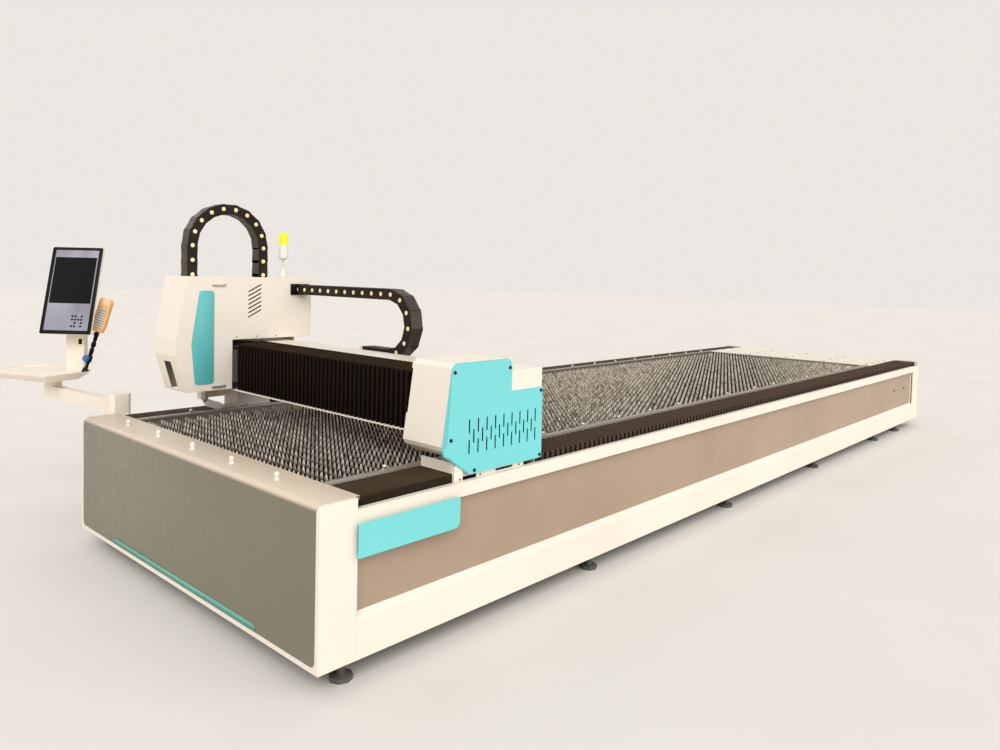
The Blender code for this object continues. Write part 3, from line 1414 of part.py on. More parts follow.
def build_console_tray():
    """A shallow tray with slanting sides, turning on the arm's hub."""
    shape = bmesh.new()
    levels = (
        (TRAY_INSET, TRAY_BASE), (PLATE / 2, TRAY_TOP - PLATE), (0, TRAY_TOP),
        (WALL, TRAY_TOP), (WALL, TRAY_TOP - TRAY_DISH),
    )
    rings = []
    for inset, height in levels:
        rings.append([shape.verts.new((*tray_point(*p), height)) for p in tray_outline(inset)])
    shape.faces.new(rings[0])
    shape.faces.new(rings[-1])
    count = len(rings[0])
    for lower, upper in zip(rings, rings[1:]):
        for i in range(count):
            j = (i + 1) % count
            shape.faces.new((lower[i], lower[j], upper[j], upper[i]))
    tray = add_part("console_tray", shape, "white_paint", "console_tray")
    bore = bmesh.new()
    wide = PIN_RADIUS + PIN_PLAY
    turned(bore, [(wide, TRAY_BASE - OVERRUN), (wide, TRAY_BASE + RIM + SHEET)], hub(), 24)
    carve(tray, bore, "console_tray")


def screen_place():
    x, y = hub()
    return (x + SCREEN_BESIDE_HUB, y - SCREEN_BEFORE_HUB, SCREEN_PIVOT)


def hinge_place():
    """The screen's cross pin, behind its case."""
    x, y, z = screen_place()
    reach = COLUMN_OFFSET + COLUMN_DEPTH / 2
    return (x + reach * math.cos(SCREEN_TURN), y + reach * math.sin(SCREEN_TURN), z)


def face_screen(shape):
    turn(shape, SCREEN_TURN, screen_place())


def tray_floor():
    return TRAY_TOP - TRAY_DISH + CLEARANCE


def build_monitor_column():
    """Column that carries the screen, with the two ears of its hinge."""
    x, y, z = screen_place()
    front, half = x + COLUMN_OFFSET, COLUMN_WIDTH / 2
    column = one_box((front, y - half, tray_floor()), (front + COLUMN_DEPTH, y + half, COLUMN_TOP))
    face_screen(column)
    obj = add_part("monitor_column", column, "white_paint", "console_tray")
    ears = bmesh.new()
    lug = HINGE_LUG
    for low in (y - 3 * lug, y + 2 * lug):
        box(ears, (front, low, COLUMN_TOP - OVERRUN), (front + COLUMN_DEPTH, low + lug, z + lug))
    face_screen(ears)
    join(obj, ears, "console_tray")


def build_monitor():
    """Upright screen. It tilts on a cross pin behind its case."""
    x, y, z = screen_place()
    half_w, half_h = SCREEN_WIDTH / 2, SCREEN_HEIGHT / 2
    depth = SCREEN_THICKNESS
    middle = z + SCREEN_RISE
    case = one_prism(
        rounded((y - half_w, middle - half_h), (y + half_w, middle + half_h), PLATE, 3),
        "X", x, x + depth)
    lean_screen(case)
    monitor = add_part("monitor", case, "frame_paint", "monitor")
    bezel = SCREEN_BEZEL
    recess = one_box(
        (x - OVERRUN, y - half_w + bezel, middle - half_h + bezel),
        (x + SHEET, y + half_w - bezel, middle + half_h - bezel))
    lean_screen(recess)
    carve(monitor, recess, "monitor")
    lug, play = HINGE_LUG, PIN_PLAY
    arm = one_box(
        (x + depth - OVERRUN, y - 2 * lug + play, z - lug),
        (x + COLUMN_OFFSET + COLUMN_DEPTH - OVERRUN, y + 2 * lug - play, z + lug))
    lean_screen(arm)
    join(monitor, arm, "monitor")
    inset = bezel + CLEARANCE
    glass = one_box(
        (x + CLEARANCE, y - half_w + inset, middle - half_h + inset),
        (x + SHEET - CLEARANCE, y + half_w - inset, middle + half_h - inset))
    lean_screen(glass)
    add_part("monitor_glass", glass, "screen_glass", "monitor")


def lean_screen(shape):
    x, y, z = screen_place()
    turn(shape, SCREEN_TILT, (x + COLUMN_OFFSET + COLUMN_DEPTH / 2, y, z), "Y")
    face_screen(shape)


def holder_place():
    x, y = hub()
    return (x + HOLDER_BESIDE_HUB, y - HOLDER_BEFORE_HUB, tray_floor())


def lean_holder(shape):
    x, y, z = holder_place()
    turn(shape, HOLDER_LEAN, (x, y, z), "Y")
    turn(shape, HOLDER_TURN, (x, y, z))


def build_pendant():
    """Hand-held control in its leaning holder, on the tray's right."""
    x, y, floor = holder_place()
    r = PLATE
    length = HOLDER_LENGTH
    base = bmesh.new()
    turned(base, [(r * 2, floor), (r * 2, floor + r / 2), (r, floor + r * 3 / 2)], (x, y), 12)
    holder = add_part("pendant_holder", base, "chain_plastic", "console_tray", True)
    shaft = bmesh.new()
    profile = [(r * wide, floor + length * high) for wide, high in HOLDER_SHARES]
    turned(shaft, profile, (x, y), 12)
    lean_holder(shaft)
    join(holder, shaft, "console_tray")
    low = floor + length + CLEARANCE
    half = PENDANT_WIDTH / 2
    body = one_prism(
        rounded((y - half, low), (y + half, low + PENDANT_LENGTH), r, 3),
        "X", x - PENDANT_DEPTH / 2, x + PENDANT_DEPTH / 2)
    turn(body, PENDANT_TURN, (x, y, low))
    lean_holder(body)
    add_part("pendant", body, "orange_plastic", "console_tray", True)


def build_bodies():
    add_body("bed", (0, 0, 0))
    add_body("gantry", (GANTRY_FRONT, RAIL_OFFSET, GIRDER_TOP + RAIL_HEIGHT), "bed")
    add_body("chain_bend", (CHAIN_START, CHAIN_BEND_PLACE, CHAIN_TOP_LINE - CHAIN_RADIUS), "gantry")
    add_body("head", (BEAM_FRONT, HEAD_SIDE, BEAM_RAIL_LOWER), "gantry")
    add_body("z_axis", (NOZZLE_X, HEAD_SIDE + HEAD_WIDTH / 2, BEAM_RAIL_LOWER), "head")
    for name, height in latch_heights():
        place = (latch_hinge(), HEAD_SIDE - LATCH_THICKNESS / 2, height + PLATE / 2)
        add_body(f"latch_{name}", place, "head")
    add_body("console_arm", (*pivot(), ARM_BASE), "bed")
    add_body("console_tray", (*hub(), TRAY_BASE), "console_arm")
    add_body("monitor", hinge_place(), "console_tray")


def main():
    clear_scene()
    build_bodies()
    build_frame()
    build_near_end()
    build_near_sheet()
    build_far_end()
    build_skirts()
    build_sign()
    build_slats()
    build_table_edges()
    build_slag_tray()
    build_rail_bellows()
    build_carriages()
    build_beam()
    build_beam_plates()
    build_beam_bellows()
    build_near_casing()
    build_side_plate()
    build_far_casing()
    build_drives()
    build_beam_chain()
    build_chain_tray()
    build_head_cover()
    build_head_trim()
    build_head_carriage()
    build_z_axis()
    build_z_chain()
    build_beacon()
    build_console_bracket()
    build_console_arm()
    build_console_tray()
    build_monitor_column()
    build_monitor()
    build_pendant()


main()
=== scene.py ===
import math

import bpy
from mathutils import Matrix, Vector


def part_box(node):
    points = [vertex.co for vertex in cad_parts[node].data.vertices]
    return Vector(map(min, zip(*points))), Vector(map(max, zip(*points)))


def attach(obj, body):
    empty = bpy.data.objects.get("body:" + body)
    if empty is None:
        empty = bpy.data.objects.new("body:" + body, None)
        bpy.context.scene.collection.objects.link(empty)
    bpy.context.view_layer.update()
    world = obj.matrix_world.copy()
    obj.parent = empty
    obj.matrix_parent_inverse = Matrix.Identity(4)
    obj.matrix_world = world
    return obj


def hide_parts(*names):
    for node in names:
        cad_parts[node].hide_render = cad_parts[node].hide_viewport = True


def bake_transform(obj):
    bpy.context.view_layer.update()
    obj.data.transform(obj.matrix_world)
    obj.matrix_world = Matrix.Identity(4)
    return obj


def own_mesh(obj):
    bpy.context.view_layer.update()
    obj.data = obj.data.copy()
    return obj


bl_info = {
    "name": "Laser cutting machine dressing",
    "version": (1, 0, 0),
    "blender": (4, 5, 0),
    "location": "View3D > Sidebar > Cutting machine",
    "description": "Fine surfaces, folds, slats and finishes for a laser cutting machine",
    "category": "Object",
}

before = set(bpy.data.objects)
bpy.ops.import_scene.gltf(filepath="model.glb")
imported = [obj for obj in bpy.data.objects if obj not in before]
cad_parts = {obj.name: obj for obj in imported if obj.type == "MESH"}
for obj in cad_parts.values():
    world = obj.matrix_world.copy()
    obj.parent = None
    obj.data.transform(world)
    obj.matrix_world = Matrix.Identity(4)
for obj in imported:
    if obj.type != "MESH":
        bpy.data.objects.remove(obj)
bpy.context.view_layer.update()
CORNER = Vector(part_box("near_end_cap")[0])
UP = Vector((0, 0, 1))

# Sizes that several pieces share, in metres; places are counted from the bed's near corner
BED_WIDTH = 2.46
BED_TOP = 0.664
LEDGE = 0.5203
HEAD_FACE = 1.9297
LINK_WIDE = 0.085
LINK_HIGH = 0.0635
MERGE = 0.00005


# Placing and shaping


def at(x, y, z):
    """A place measured from the bed's near front corner."""
    return CORNER + Vector((x, y, z))


def deselect():
    if bpy.context.object and bpy.context.object.mode == "EDIT":
        bpy.ops.object.mode_set(mode="OBJECT")
    bpy.ops.object.select_all(action="DESELECT")


def activate(*objs):
    deselect()
    for obj in objs:
        obj.select_set(True)
    bpy.context.view_layer.objects.active = objs[0]


def named(obj, name):
    obj.name = name
    obj.data.name = name
    return obj


def settle(obj):
    """Puts the piece's place into its mesh."""
    activate(obj)
    bpy.ops.object.transform_apply(location=True, rotation=True, scale=True)
    return obj


def block(low, high, name="block", edge=0.0, steps=2):
    """A squared piece between two corners, its edges rounded."""
    deselect()
    low, high = Vector(low), Vector(high)
    centre = at(*((low + high) / 2))
    bpy.ops.mesh.primitive_cube_add(size=1, location=centre, scale=high - low)
    obj = settle(named(bpy.context.object, name))
    if edge:
        soften(obj, edge, steps)
    return obj


def modified(obj, kind, **values):
    """Applies one modifier, with the values given, to the mesh."""
    activate(obj)
    modifier = obj.modifiers.new(kind.lower(), kind)
    for name, value in values.items():
        setattr(modifier, name, value)
    bpy.ops.object.modifier_apply(modifier=modifier.name)
    return obj


def soften(obj, width, steps=2, angle=35):
    """Rounds the sharp edges for good."""
    limit = math.radians(angle)
    modified(obj, "BEVEL", width=width, segments=steps, limit_method="ANGLE", angle_limit=limit)
    return shade(obj)


def shade(obj, angle=35):
    activate(obj)
    bpy.ops.object.shade_smooth_by_angle(angle=math.radians(angle))
    return obj


def even(obj, angle=35):
    """Even shading on large flat faces beside small curved ones."""
    return modified(shade(obj, angle), "WEIGHTED_NORMAL", keep_sharp=True, weight=90)


def edit_all(obj):
    """Opens the piece's mesh for editing, with all of it selected."""
    activate(obj)
    bpy.ops.object.mode_set(mode="EDIT")
    bpy.ops.mesh.select_all(action="SELECT")


def close_edit():
    bpy.ops.object.mode_set(mode="OBJECT")


def face_out(obj):
    """Merges doubles and turns every face outwards."""
    edit_all(obj)
    bpy.ops.mesh.remove_doubles(threshold=MERGE)
    bpy.ops.mesh.normals_make_consistent(inside=False)
    close_edit()
    return obj


def drawn(points, axis, low, high, name, edge=0.0, steps=2):
    """A plate cut to an outline and extruded along one axis, from low to high."""
    deselect()
    bpy.ops.mesh.primitive_circle_add(vertices=len(points), radius=1, fill_type="NGON")
    obj = named(bpy.context.object, name)
    for vertex, (u, v) in zip(obj.data.vertices, points):
        spot = {"x": (low, u, v), "y": (u, low, v), "z": (u, v, low)}[axis]
        vertex.co = at(*spot) - obj.location
    settle(obj)
    push = {"x": (high - low, 0, 0), "y": (0, high - low, 0), "z": (0, 0, high - low)}[axis]
    edit_all(obj)
    bpy.ops.mesh.extrude_region_move(TRANSFORM_OT_translate={"value": push})
    close_edit()
    face_out(obj)
    if edge:
        soften(obj, edge, steps)
    return obj


def turned(profile, place, name, sides=32, towards=UP):
    """A ring is extruded and resized along a profile of (radius, height), about one axis."""
    deselect()
    radius, height = profile[0]
    bpy.ops.mesh.primitive_circle_add(
        vertices=sides, radius=radius, location=(0, 0, height), fill_type="NGON")
    obj = settle(named(bpy.context.object, name))
    edit_all(obj)
    for wide, high in profile[1:]:
        bpy.ops.mesh.extrude_region_move(
            TRANSFORM_OT_translate={"value": (0, 0, high - height)})
        size = wide / radius
        bpy.ops.transform.resize(value=(size, size, 1), center_override=(0, 0, high))
        radius, height = wide, high
    close_edit()
    face_out(obj)
    turn = UP.rotation_difference(Vector(towards).normalized())
    obj.data.transform(Matrix.Translation(at(*place)) @ turn.to_matrix().to_4x4())
    return shade(obj)


def joined(objs, name):
    """Several shapes made one piece."""
    activate(*objs)
    bpy.ops.object.join()
    return named(bpy.context.object, name)


def repeated(obj, count, step):
    """Copies in a row, each with its own mesh, joined to the first."""
    return modified(obj, "ARRAY", count=count, use_relative_offset=False,
                    use_constant_offset=True, constant_offset_displace=step)


def placed(obj, pose):
    """Moves a shape that was made at the bed's corner to its pose."""
    obj.data.transform(pose @ Matrix.Translation(-CORNER))
    return obj


def spread(obj, poses, name):
    """One copy for each pose, each with its own mesh, all joined into one piece."""
    copies = []
    for pose in poses:
        activate(obj)
        bpy.ops.object.duplicate()
        copies.append(placed(bpy.context.object, pose))
    bpy.data.objects.remove(obj)
    return joined(copies, name) if len(copies) > 1 else named(copies[0], name)


def cut(obj, *cutters):
    """Takes the cutters' shapes out of the piece."""
    for cutter in cutters:
        modified(obj, "BOOLEAN", operation="DIFFERENCE", solver="EXACT", object=cutter)
        bpy.data.objects.remove(cutter)
    return obj


def arc(centre, radius, start, end, steps=6):
    """Points on an arc, angles in degrees."""
    turns = [math.radians(start + (end - start) * i / steps) for i in range(steps + 1)]
    return [(centre[0] + radius * math.cos(t), centre[1] + radius * math.sin(t)) for t in turns]


def rounded(points, radii, steps=5):
    """The outline with each corner replaced by an arc of its own radius."""
    line = []
    count = len(points)
    for i, corner in enumerate(points):
        here = Vector(corner)
        radius = radii[i] if isinstance(radii, (tuple, list)) else radii
        if not radius:
            line.append(tuple(here))
            continue
        back = (Vector(points[i - 1]) - here).normalized()
        on = (Vector(points[(i + 1) % count]) - here).normalized()
        half = back.angle(on) / 2
        reach = radius / math.tan(half)
        centre = here + (back + on).normalized() * (radius / math.sin(half))
        first, last = here + back * reach - centre, here + on * reach - centre
        sweep = first.angle_signed(last)
        for k in range(steps + 1):
            spot = first.copy()
            spot.rotate(Matrix.Rotation(-sweep * k / steps, 2))
            line.append(tuple(centre + spot))
    return line


def corners(low, high):
    return [(low[0], low[1]), (high[0], low[1]), (high[0], high[1]), (low[0], high[1])]


def plate(low, high, radius, axis, depth, name, edge=0.0, steps=2, turns=5):
    """A rectangle between two corners, rounded and extruded between the two depths."""
    line = rounded(corners(low, high), radius, turns) if radius else corners(low, high)
    return drawn(line, axis, *depth, name, edge, steps)


def pan_screw(place, towards, radius, name="screw"):
    """Button head with a hexagon socket, its profile in shares of the head's radius."""
    shares_of_radius = ((1, 0), (1, 0.25), (0.86, 0.52), (0.46, 0.62), (0.40, 0.60), (0.38, 0.30))
    return turned([(radius * r, radius * z) for r, z in shares_of_radius], place, name, 12, towards)


def screws(places, towards, radius, name, body):
    """A set of like screws as one piece."""
    heads = [pan_screw(place, towards, radius) for place in places]
    return dressed(joined(heads, name), "screw", body, "frame_paint")


def dressed(obj, look, body, slot, *nodes):
    """Gives the piece its finish, the body it rides on and the nodes it stands for."""
    obj.data.materials.clear()
    obj.data.materials.append(FINISHES[look])
    if body:
        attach(obj, body)
    if nodes:
        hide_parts(*nodes)
    return obj


# Finishes


class Finish:
    """A material's node tree while it is put together."""

    def __init__(self, name):
        self.material = bpy.data.materials.new(name)
        self.material.use_nodes = True
        self.tree = self.material.node_tree
        self.shader = self.tree.nodes["Principled BSDF"]
        self.place = self.tree.nodes.new("ShaderNodeTexCoord").outputs["Object"]

    def link(self, source, target):
        self.tree.links.new(source, target)

    def node(self, kind, **values):
        """A new node with values in its inputs, their names without the spaces."""
        node = self.tree.nodes.new("ShaderNode" + kind)
        for socket in node.inputs:
            value = values.get(socket.name.replace(" ", ""))
            if value is not None:
                socket.default_value = value
        return node

    def noise(self, scale, detail, stretch=None):
        place = self.place
        if stretch:
            mapping = self.node("Mapping", Scale=stretch)
            self.link(place, mapping.inputs["Vector"])
            place = mapping.outputs["Vector"]
        node = self.node("TexNoise", Scale=scale, Detail=detail)
        self.link(place, node.inputs["Vector"])
        return node.outputs["Fac"]

    def wave(self, scale, direction):
        node = self.node("TexWave", Scale=scale)
        node.bands_direction = direction
        self.link(self.place, node.inputs["Vector"])
        return node.outputs["Fac"]

    def span(self, source, low, high, start=0.0, end=1.0):
        """Maps source between low and high on to start to end."""
        node = self.node("MapRange")
        for socket, value in zip(("From Min", "From Max", "To Min", "To Max"), (low, high, start, end)):
            node.inputs[socket].default_value = value
        self.link(source, node.inputs["Value"])
        return node.outputs["Result"]

    def product(self, one, other):
        node = self.node("Math")
        node.operation = "MULTIPLY"
        self.link(one, node.inputs[0])
        self.link(other, node.inputs[1])
        return node.outputs[0]

    def blend(self, factor, first, second):
        """Colour between first and second; each is a colour or another node's output."""
        node = self.node("Mix")
        node.data_type = "RGBA"
        self.link(factor, node.inputs["Factor"])
        for socket, value in ((node.inputs[6], first), (node.inputs[7], second)):
            if isinstance(value, (tuple, list)):
                socket.default_value = (*value, 1.0)
            else:
                self.link(value, socket)
        return node.outputs[2]

    def axis_of(self, source, which):
        node = self.node("SeparateXYZ")
        self.link(source, node.inputs[0])
        return node.outputs[which]

    def facing_up(self):
        return self.axis_of(self.node("NewGeometry").outputs["Normal"], 2)

    def bump(self, source, strength, distance):
        node = self.node("Bump", Strength=strength, Distance=distance)
        self.link(source, node.inputs["Height"])
        last = self.shader.inputs["Normal"]
        if last.is_linked:
            self.link(last.links[0].from_socket, node.inputs["Normal"])
        self.link(node.outputs["Normal"], last)

    def paint(self, source):
        self.link(source, self.shader.inputs["Base Color"])

    def gloss(self, source):
        self.link(source, self.shader.inputs["Roughness"])

    def patches(self, scale, detail, first, second):
        """Two colours in soft patches."""
        return self.blend(self.span(self.noise(scale, detail), 0.3, 0.7), first, second)

    def uneven_gloss(self, scale, detail, low, high):
        self.gloss(self.span(self.noise(scale, detail), 0.3, 0.7, low, high))

    def set(self, **values):
        for name, value in values.items():
            self.shader.inputs[name.replace("_", " ")].default_value = value


def shares(colour, share):
    return tuple(min(1.0, c * share) for c in colour)


def powder_coat(name, colour, roughness=0.38, tone=0.05, peel=0.10, dust=0.0, coat=0.0):
    """Stove paint: slow changes of tone, fine orange peel, and dust on what faces up."""
    f = Finish(name)
    base = f.patches(1.7, 4.0, shares(colour, 1 - tone), shares(colour, 1 + tone * 0.6))
    if dust:
        patchy = f.span(f.noise(9.0, 6.0), 0.35, 0.75, 0.15 * dust, dust)
        dust_and_top_light = f.product(f.span(f.facing_up(), 0.55, 0.95), patchy)
        base = f.blend(dust_and_top_light, base, (0.30, 0.25, 0.19))
    f.paint(base)
    f.uneven_gloss(23.0, 5.0, roughness - 0.06, roughness + 0.08)
    f.bump(f.noise(260.0, 2.0), peel, 0.0006)
    f.set(Coat_Weight=coat, Coat_Roughness=0.25, IOR=1.46)
    return f.material


def folded_paint_lit_top(name, colour, top):
    """Stove paint with a lighter colour painted on what faces up: a painted highlight, the reflection of the
    bright surroundings on the rolled edge and the top.
    """
    f = Finish(name)
    side = f.patches(1.3, 4.0, shares(colour, 0.95), shares(colour, 1.04))
    # The top colour is a painted highlight: the rolled edge and the top reflect the bright surroundings, and
    # that light is painted in here.
    upper = f.patches(2.6, 4.0, shares(top, 0.93), shares(top, 1.04))
    f.paint(f.blend(f.span(f.facing_up(), 0.12, 0.60), side, upper))
    f.uneven_gloss(21.0, 5.0, 0.34, 0.46)
    f.bump(f.noise(260.0, 2.0), 0.10, 0.0006)
    f.set(IOR=1.46, Coat_Weight=0.15, Coat_Roughness=0.3)
    return f.material


def strip_middle():
    low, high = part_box("near_end_strip")
    return (low[2] + high[2]) / 2


def two_tone(name, lower, upper, height, blur=0.0006):
    """One colour below the height and a lighter one above it."""
    f = Finish(name)
    slow = f.span(f.noise(2.0, 4.0), 0.3, 0.7)
    low = f.blend(slow, shares(lower, 0.9), shares(lower, 1.1))
    high = f.blend(slow, shares(upper, 0.92), shares(upper, 1.08))
    f.paint(f.blend(f.span(f.axis_of(f.place, 2), height - blur, height + blur), low, high))
    f.uneven_gloss(21.0, 5.0, 0.36, 0.46)
    f.bump(f.noise(260.0, 2.0), 0.10, 0.0006)
    return f.material


def bare_steel(name, colour, roughness=0.34, metallic=1.0, scratch=0.25):
    """Ground steel with a fine grain along the machine."""
    f = Finish(name)
    grain = f.noise(6.0, 6.0, stretch=(1.0, 40.0, 40.0))
    f.paint(f.blend(f.span(grain, 0.3, 0.7), shares(colour, 0.78), colour))
    f.uneven_gloss(30.0, 5.0, roughness - 0.1, roughness + 0.12)
    f.bump(grain, scratch, 0.0004)
    f.set(Metallic=metallic)
    return f.material


def slat_steel(name, tip, dark_up_to=0.034, bright_from=0.014):
    """Cutting slats: bright at the tips, partly a painted highlight; near black lower down, painted shade
    between the close-set slats with dark scale in patches.
    """
    f = Finish(name)
    # Darker towards the bottom: painted shade between the close-set slats, with dark scale in patches.
    height = f.span(f.axis_of(f.place, 2), tip - dark_up_to, tip - bright_from)
    dark_patches = f.span(f.noise(14.0, 6.0), 0.35, 0.7)
    lit_and_worn_mask = f.span(f.noise(30.0, 4.0), 0.32, 0.62)
    scale = f.blend(dark_patches, (0.004, 0.0025, 0.002), (0.022, 0.014, 0.009))
    # The tip colour is bright steel with a painted highlight on it.
    bright = f.blend(lit_and_worn_mask, (0.24, 0.175, 0.12), (0.92, 0.82, 0.69))
    f.paint(f.blend(height, scale, bright))
    f.uneven_gloss(60.0, 4.0, 0.42, 0.68)
    f.bump(f.noise(150.0, 5.0), 0.35, 0.0012)
    f.set(Metallic=0.2, Specular_IOR_Level=0.3)
    return f.material


def coated_cloth(name, colour, crest_lit_and_rubbed, dusty, crest=1.0, shine=0.08):
    """Coated bellows cloth: woven grain; crests painted lighter and valleys darker, a painted highlight and
    painted shade with rubbed wear; a lighter brown on top, a painted reflection with dust.
    """
    f = Finish(name)
    fold = f.node("Attribute")
    fold.attribute_name = "fold"
    # Crests lighter than the valleys: painted highlight on the crests and painted shade in the valleys,
    # along with rubbed wear.
    lit_and_worn_mask = f.span(fold.outputs["Fac"], 0.45, 0.95, 0.0, crest)
    base = f.blend(lit_and_worn_mask, f.patches(8.0, 5.0, shares(colour, 0.8), shares(colour, 1.25)), crest_lit_and_rubbed)
    # A lighter brown on what faces up: a painted reflection of the bright surroundings on the tops, along
    # with dust.
    patchy = f.span(f.noise(5.0, 6.0), 0.3, 0.75, 0.35 * dusty, dusty)
    dust_and_top_light = f.product(f.span(f.facing_up(), 0.2, 0.9), patchy)
    f.paint(f.blend(dust_and_top_light, base, (0.072, 0.047, 0.023)))
    f.uneven_gloss(18.0, 4.0, 0.50, 0.68)
    f.bump(f.wave(190.0, "DIAGONAL"), 0.12, 0.0005)
    f.set(Specular_IOR_Level=shine)
    return f.material


def moulded(name, colour, roughness=0.42, grain=0.2, tone=0.12, shine=0.5):
    """Moulded plastic: fine spark grain and handled spots."""
    f = Finish(name)
    f.paint(f.patches(7.0, 5.0, shares(colour, 1 - tone), shares(colour, 1 + tone)))
    f.uneven_gloss(35.0, 5.0, roughness - 0.08, roughness + 0.1)
    f.bump(f.noise(700.0, 2.0), grain, 0.0003)
    f.set(IOR=1.5, Specular_IOR_Level=shine)
    return f.material


def lamp_lens(name, colour, glow):
    """Ribbed translucent lens."""
    f = Finish(name)
    ribs = f.wave(60.0, "Z")
    f.paint(f.blend(ribs, shares(colour, 0.86), colour))
    f.bump(ribs, 0.3, 0.0008)
    f.set(Roughness=0.22, Coat_Weight=0.3, Subsurface_Weight=0.15, Subsurface_Scale=0.01)
    f.set(Emission_Color=(*colour, 1.0), Emission_Strength=glow)
    return f.material


def dark_glass(name, colour):
    """Glass over a dark or lit field, with faint smears."""
    f = Finish(name)
    smear = f.noise(5.0, 5.0, stretch=(1.0, 1.0, 0.4))
    f.paint(f.blend(f.span(smear, 0.3, 0.7), shares(colour, 0.8), shares(colour, 1.3)))
    f.gloss(f.span(smear, 0.3, 0.75, 0.10, 0.24))
    f.set(Specular_IOR_Level=0.14)
    return f.material


def floor_finish(name, colour):
    f = Finish(name)
    f.paint(f.patches(0.8, 5.0, shares(colour, 0.97), shares(colour, 1.02)))
    f.uneven_gloss(3.0, 4.0, 0.70, 0.82)
    return f.material


def make_finishes(colours):
    """Every finish of the machine, by the word that the pieces ask for it with."""
    cream, end_panel = tuple(colours.cream), tuple(colours.end_panel)
    strip_low, strip_high = (0.060, 0.235, 0.190), (0.145, 0.43, 0.36)
    slat_tip = at(0, 0, 0.655)[2]
    # Each cloth: its own colour, then the lighter brown painted on its crests, a painted highlight along
    # with rubbed wear.
    front_cloth = ((0.012, 0.008, 0.005), (0.040, 0.026, 0.014))
    rear_cloth = ((0.007, 0.005, 0.004), (0.085, 0.055, 0.036))
    beam_cloth = ((0.0016, 0.0009, 0.0007), (0.020, 0.011, 0.0065))
    return {
        "cream": powder_coat("cream stove paint", cream, 0.36, 0.045, dust=0.16),
        "casing": powder_coat("casing stove paint", cream, 0.42, 0.035, peel=0.14),
        "side": powder_coat("taupe side paint", tuple(colours.side_panel), 0.40, 0.07, dust=0.1),
        "end": powder_coat("olive grey end paint", end_panel, 0.42, 0.06),
        # The lighter second colour is a painted highlight on the rolled edge and the top of the end sheet.
        "end_fold": folded_paint_lit_top("folded end paint with painted light top", end_panel, (0.66, 0.54, 0.42)),
        "teal": powder_coat("teal plate paint", tuple(colours.teal), 0.34, 0.03, coat=0.2),
        "inlay": powder_coat("teal inlay paint", (0.114, 0.49, 0.49), 0.34, 0.05, coat=0.2),
        "strip": two_tone("two-tone strip paint", strip_low, strip_high, strip_middle()),
        "frame": powder_coat("dark frame paint", (0.10, 0.095, 0.085), 0.55, 0.15, dust=0.5),
        "deck": powder_coat("deck stove paint", cream, 0.40, 0.04, dust=0.22),
        "slat": slat_steel("slat steel", slat_tip),
        "steel": bare_steel("ground steel", (0.66, 0.64, 0.60)),
        "dull_steel": bare_steel("dusty strip steel", (0.42, 0.37, 0.31), 0.48, 0.7),
        "chrome": bare_steel("bright latch steel", (0.62, 0.58, 0.52), 0.30, 0.55, 0.08),
        "copper": bare_steel("dusty nozzle metal", (0.72, 0.58, 0.47), 0.36, 0.35),
        "rail_cloth_front": coated_cloth("front bellows cloth", *front_cloth, 1.0),
        "rail_cloth_rear": coated_cloth("rear bellows cloth", *rear_cloth, 0.30),
        "beam_cloth": coated_cloth("beam bellows cloth", *beam_cloth, 0.30, 0.9, shine=0.03),
        "chain": moulded("chain plastic", (0.018, 0.011, 0.006), 0.50, tone=0.35, shine=0.16),
        "chain_lid": moulded("chain lid plastic", (0.048, 0.036, 0.028), 0.36, tone=0.25, shine=0.3),
        "chain_disc": moulded("chain pivot discs", (0.90, 0.80, 0.48), 0.36, tone=0.06),
        "black": moulded("black plastic", (0.004, 0.003, 0.003), 0.38, shine=0.14),
        "grey": moulded("grey plastic", (0.20, 0.20, 0.20), 0.44),
        "white_plastic": moulded("white plastic", (0.78, 0.74, 0.66), 0.36),
        "orange": moulded("orange plastic", tuple(colours.pendant), 0.42),
        "pale_orange": moulded("pale orange plastic", (0.84, 0.62, 0.36), 0.40),
        "blue": moulded("blue plastic", (0.03, 0.14, 0.38), 0.35),
        "ball": moulded("white ball plastic", (0.88, 0.84, 0.76), 0.22, 0.05, 0.03),
        "screw": moulded("blackened screws", (0.012, 0.010, 0.009), 0.45, 0.1, shine=0.25),
        # A near-black finish that stands for the shade inside the casing, behind the vent slots.
        "void": moulded("painted shade inside vents", (0.003, 0.004, 0.004), 0.8, shine=0.0),
        "screen_field": dark_glass("lit screen field", (0.30, 0.29, 0.35)),
        "glass": dark_glass("screen glass", (0.006, 0.006, 0.007)),
        "lens_white": lamp_lens("white lens", (0.86, 0.83, 0.74), 0.10),
        "lens_yellow": lamp_lens("yellow lens", (0.80, 0.70, 0.02), 0.45),
        "floor": floor_finish("pale floor", tuple(colours.floor)),
    }


FINISHES = {}

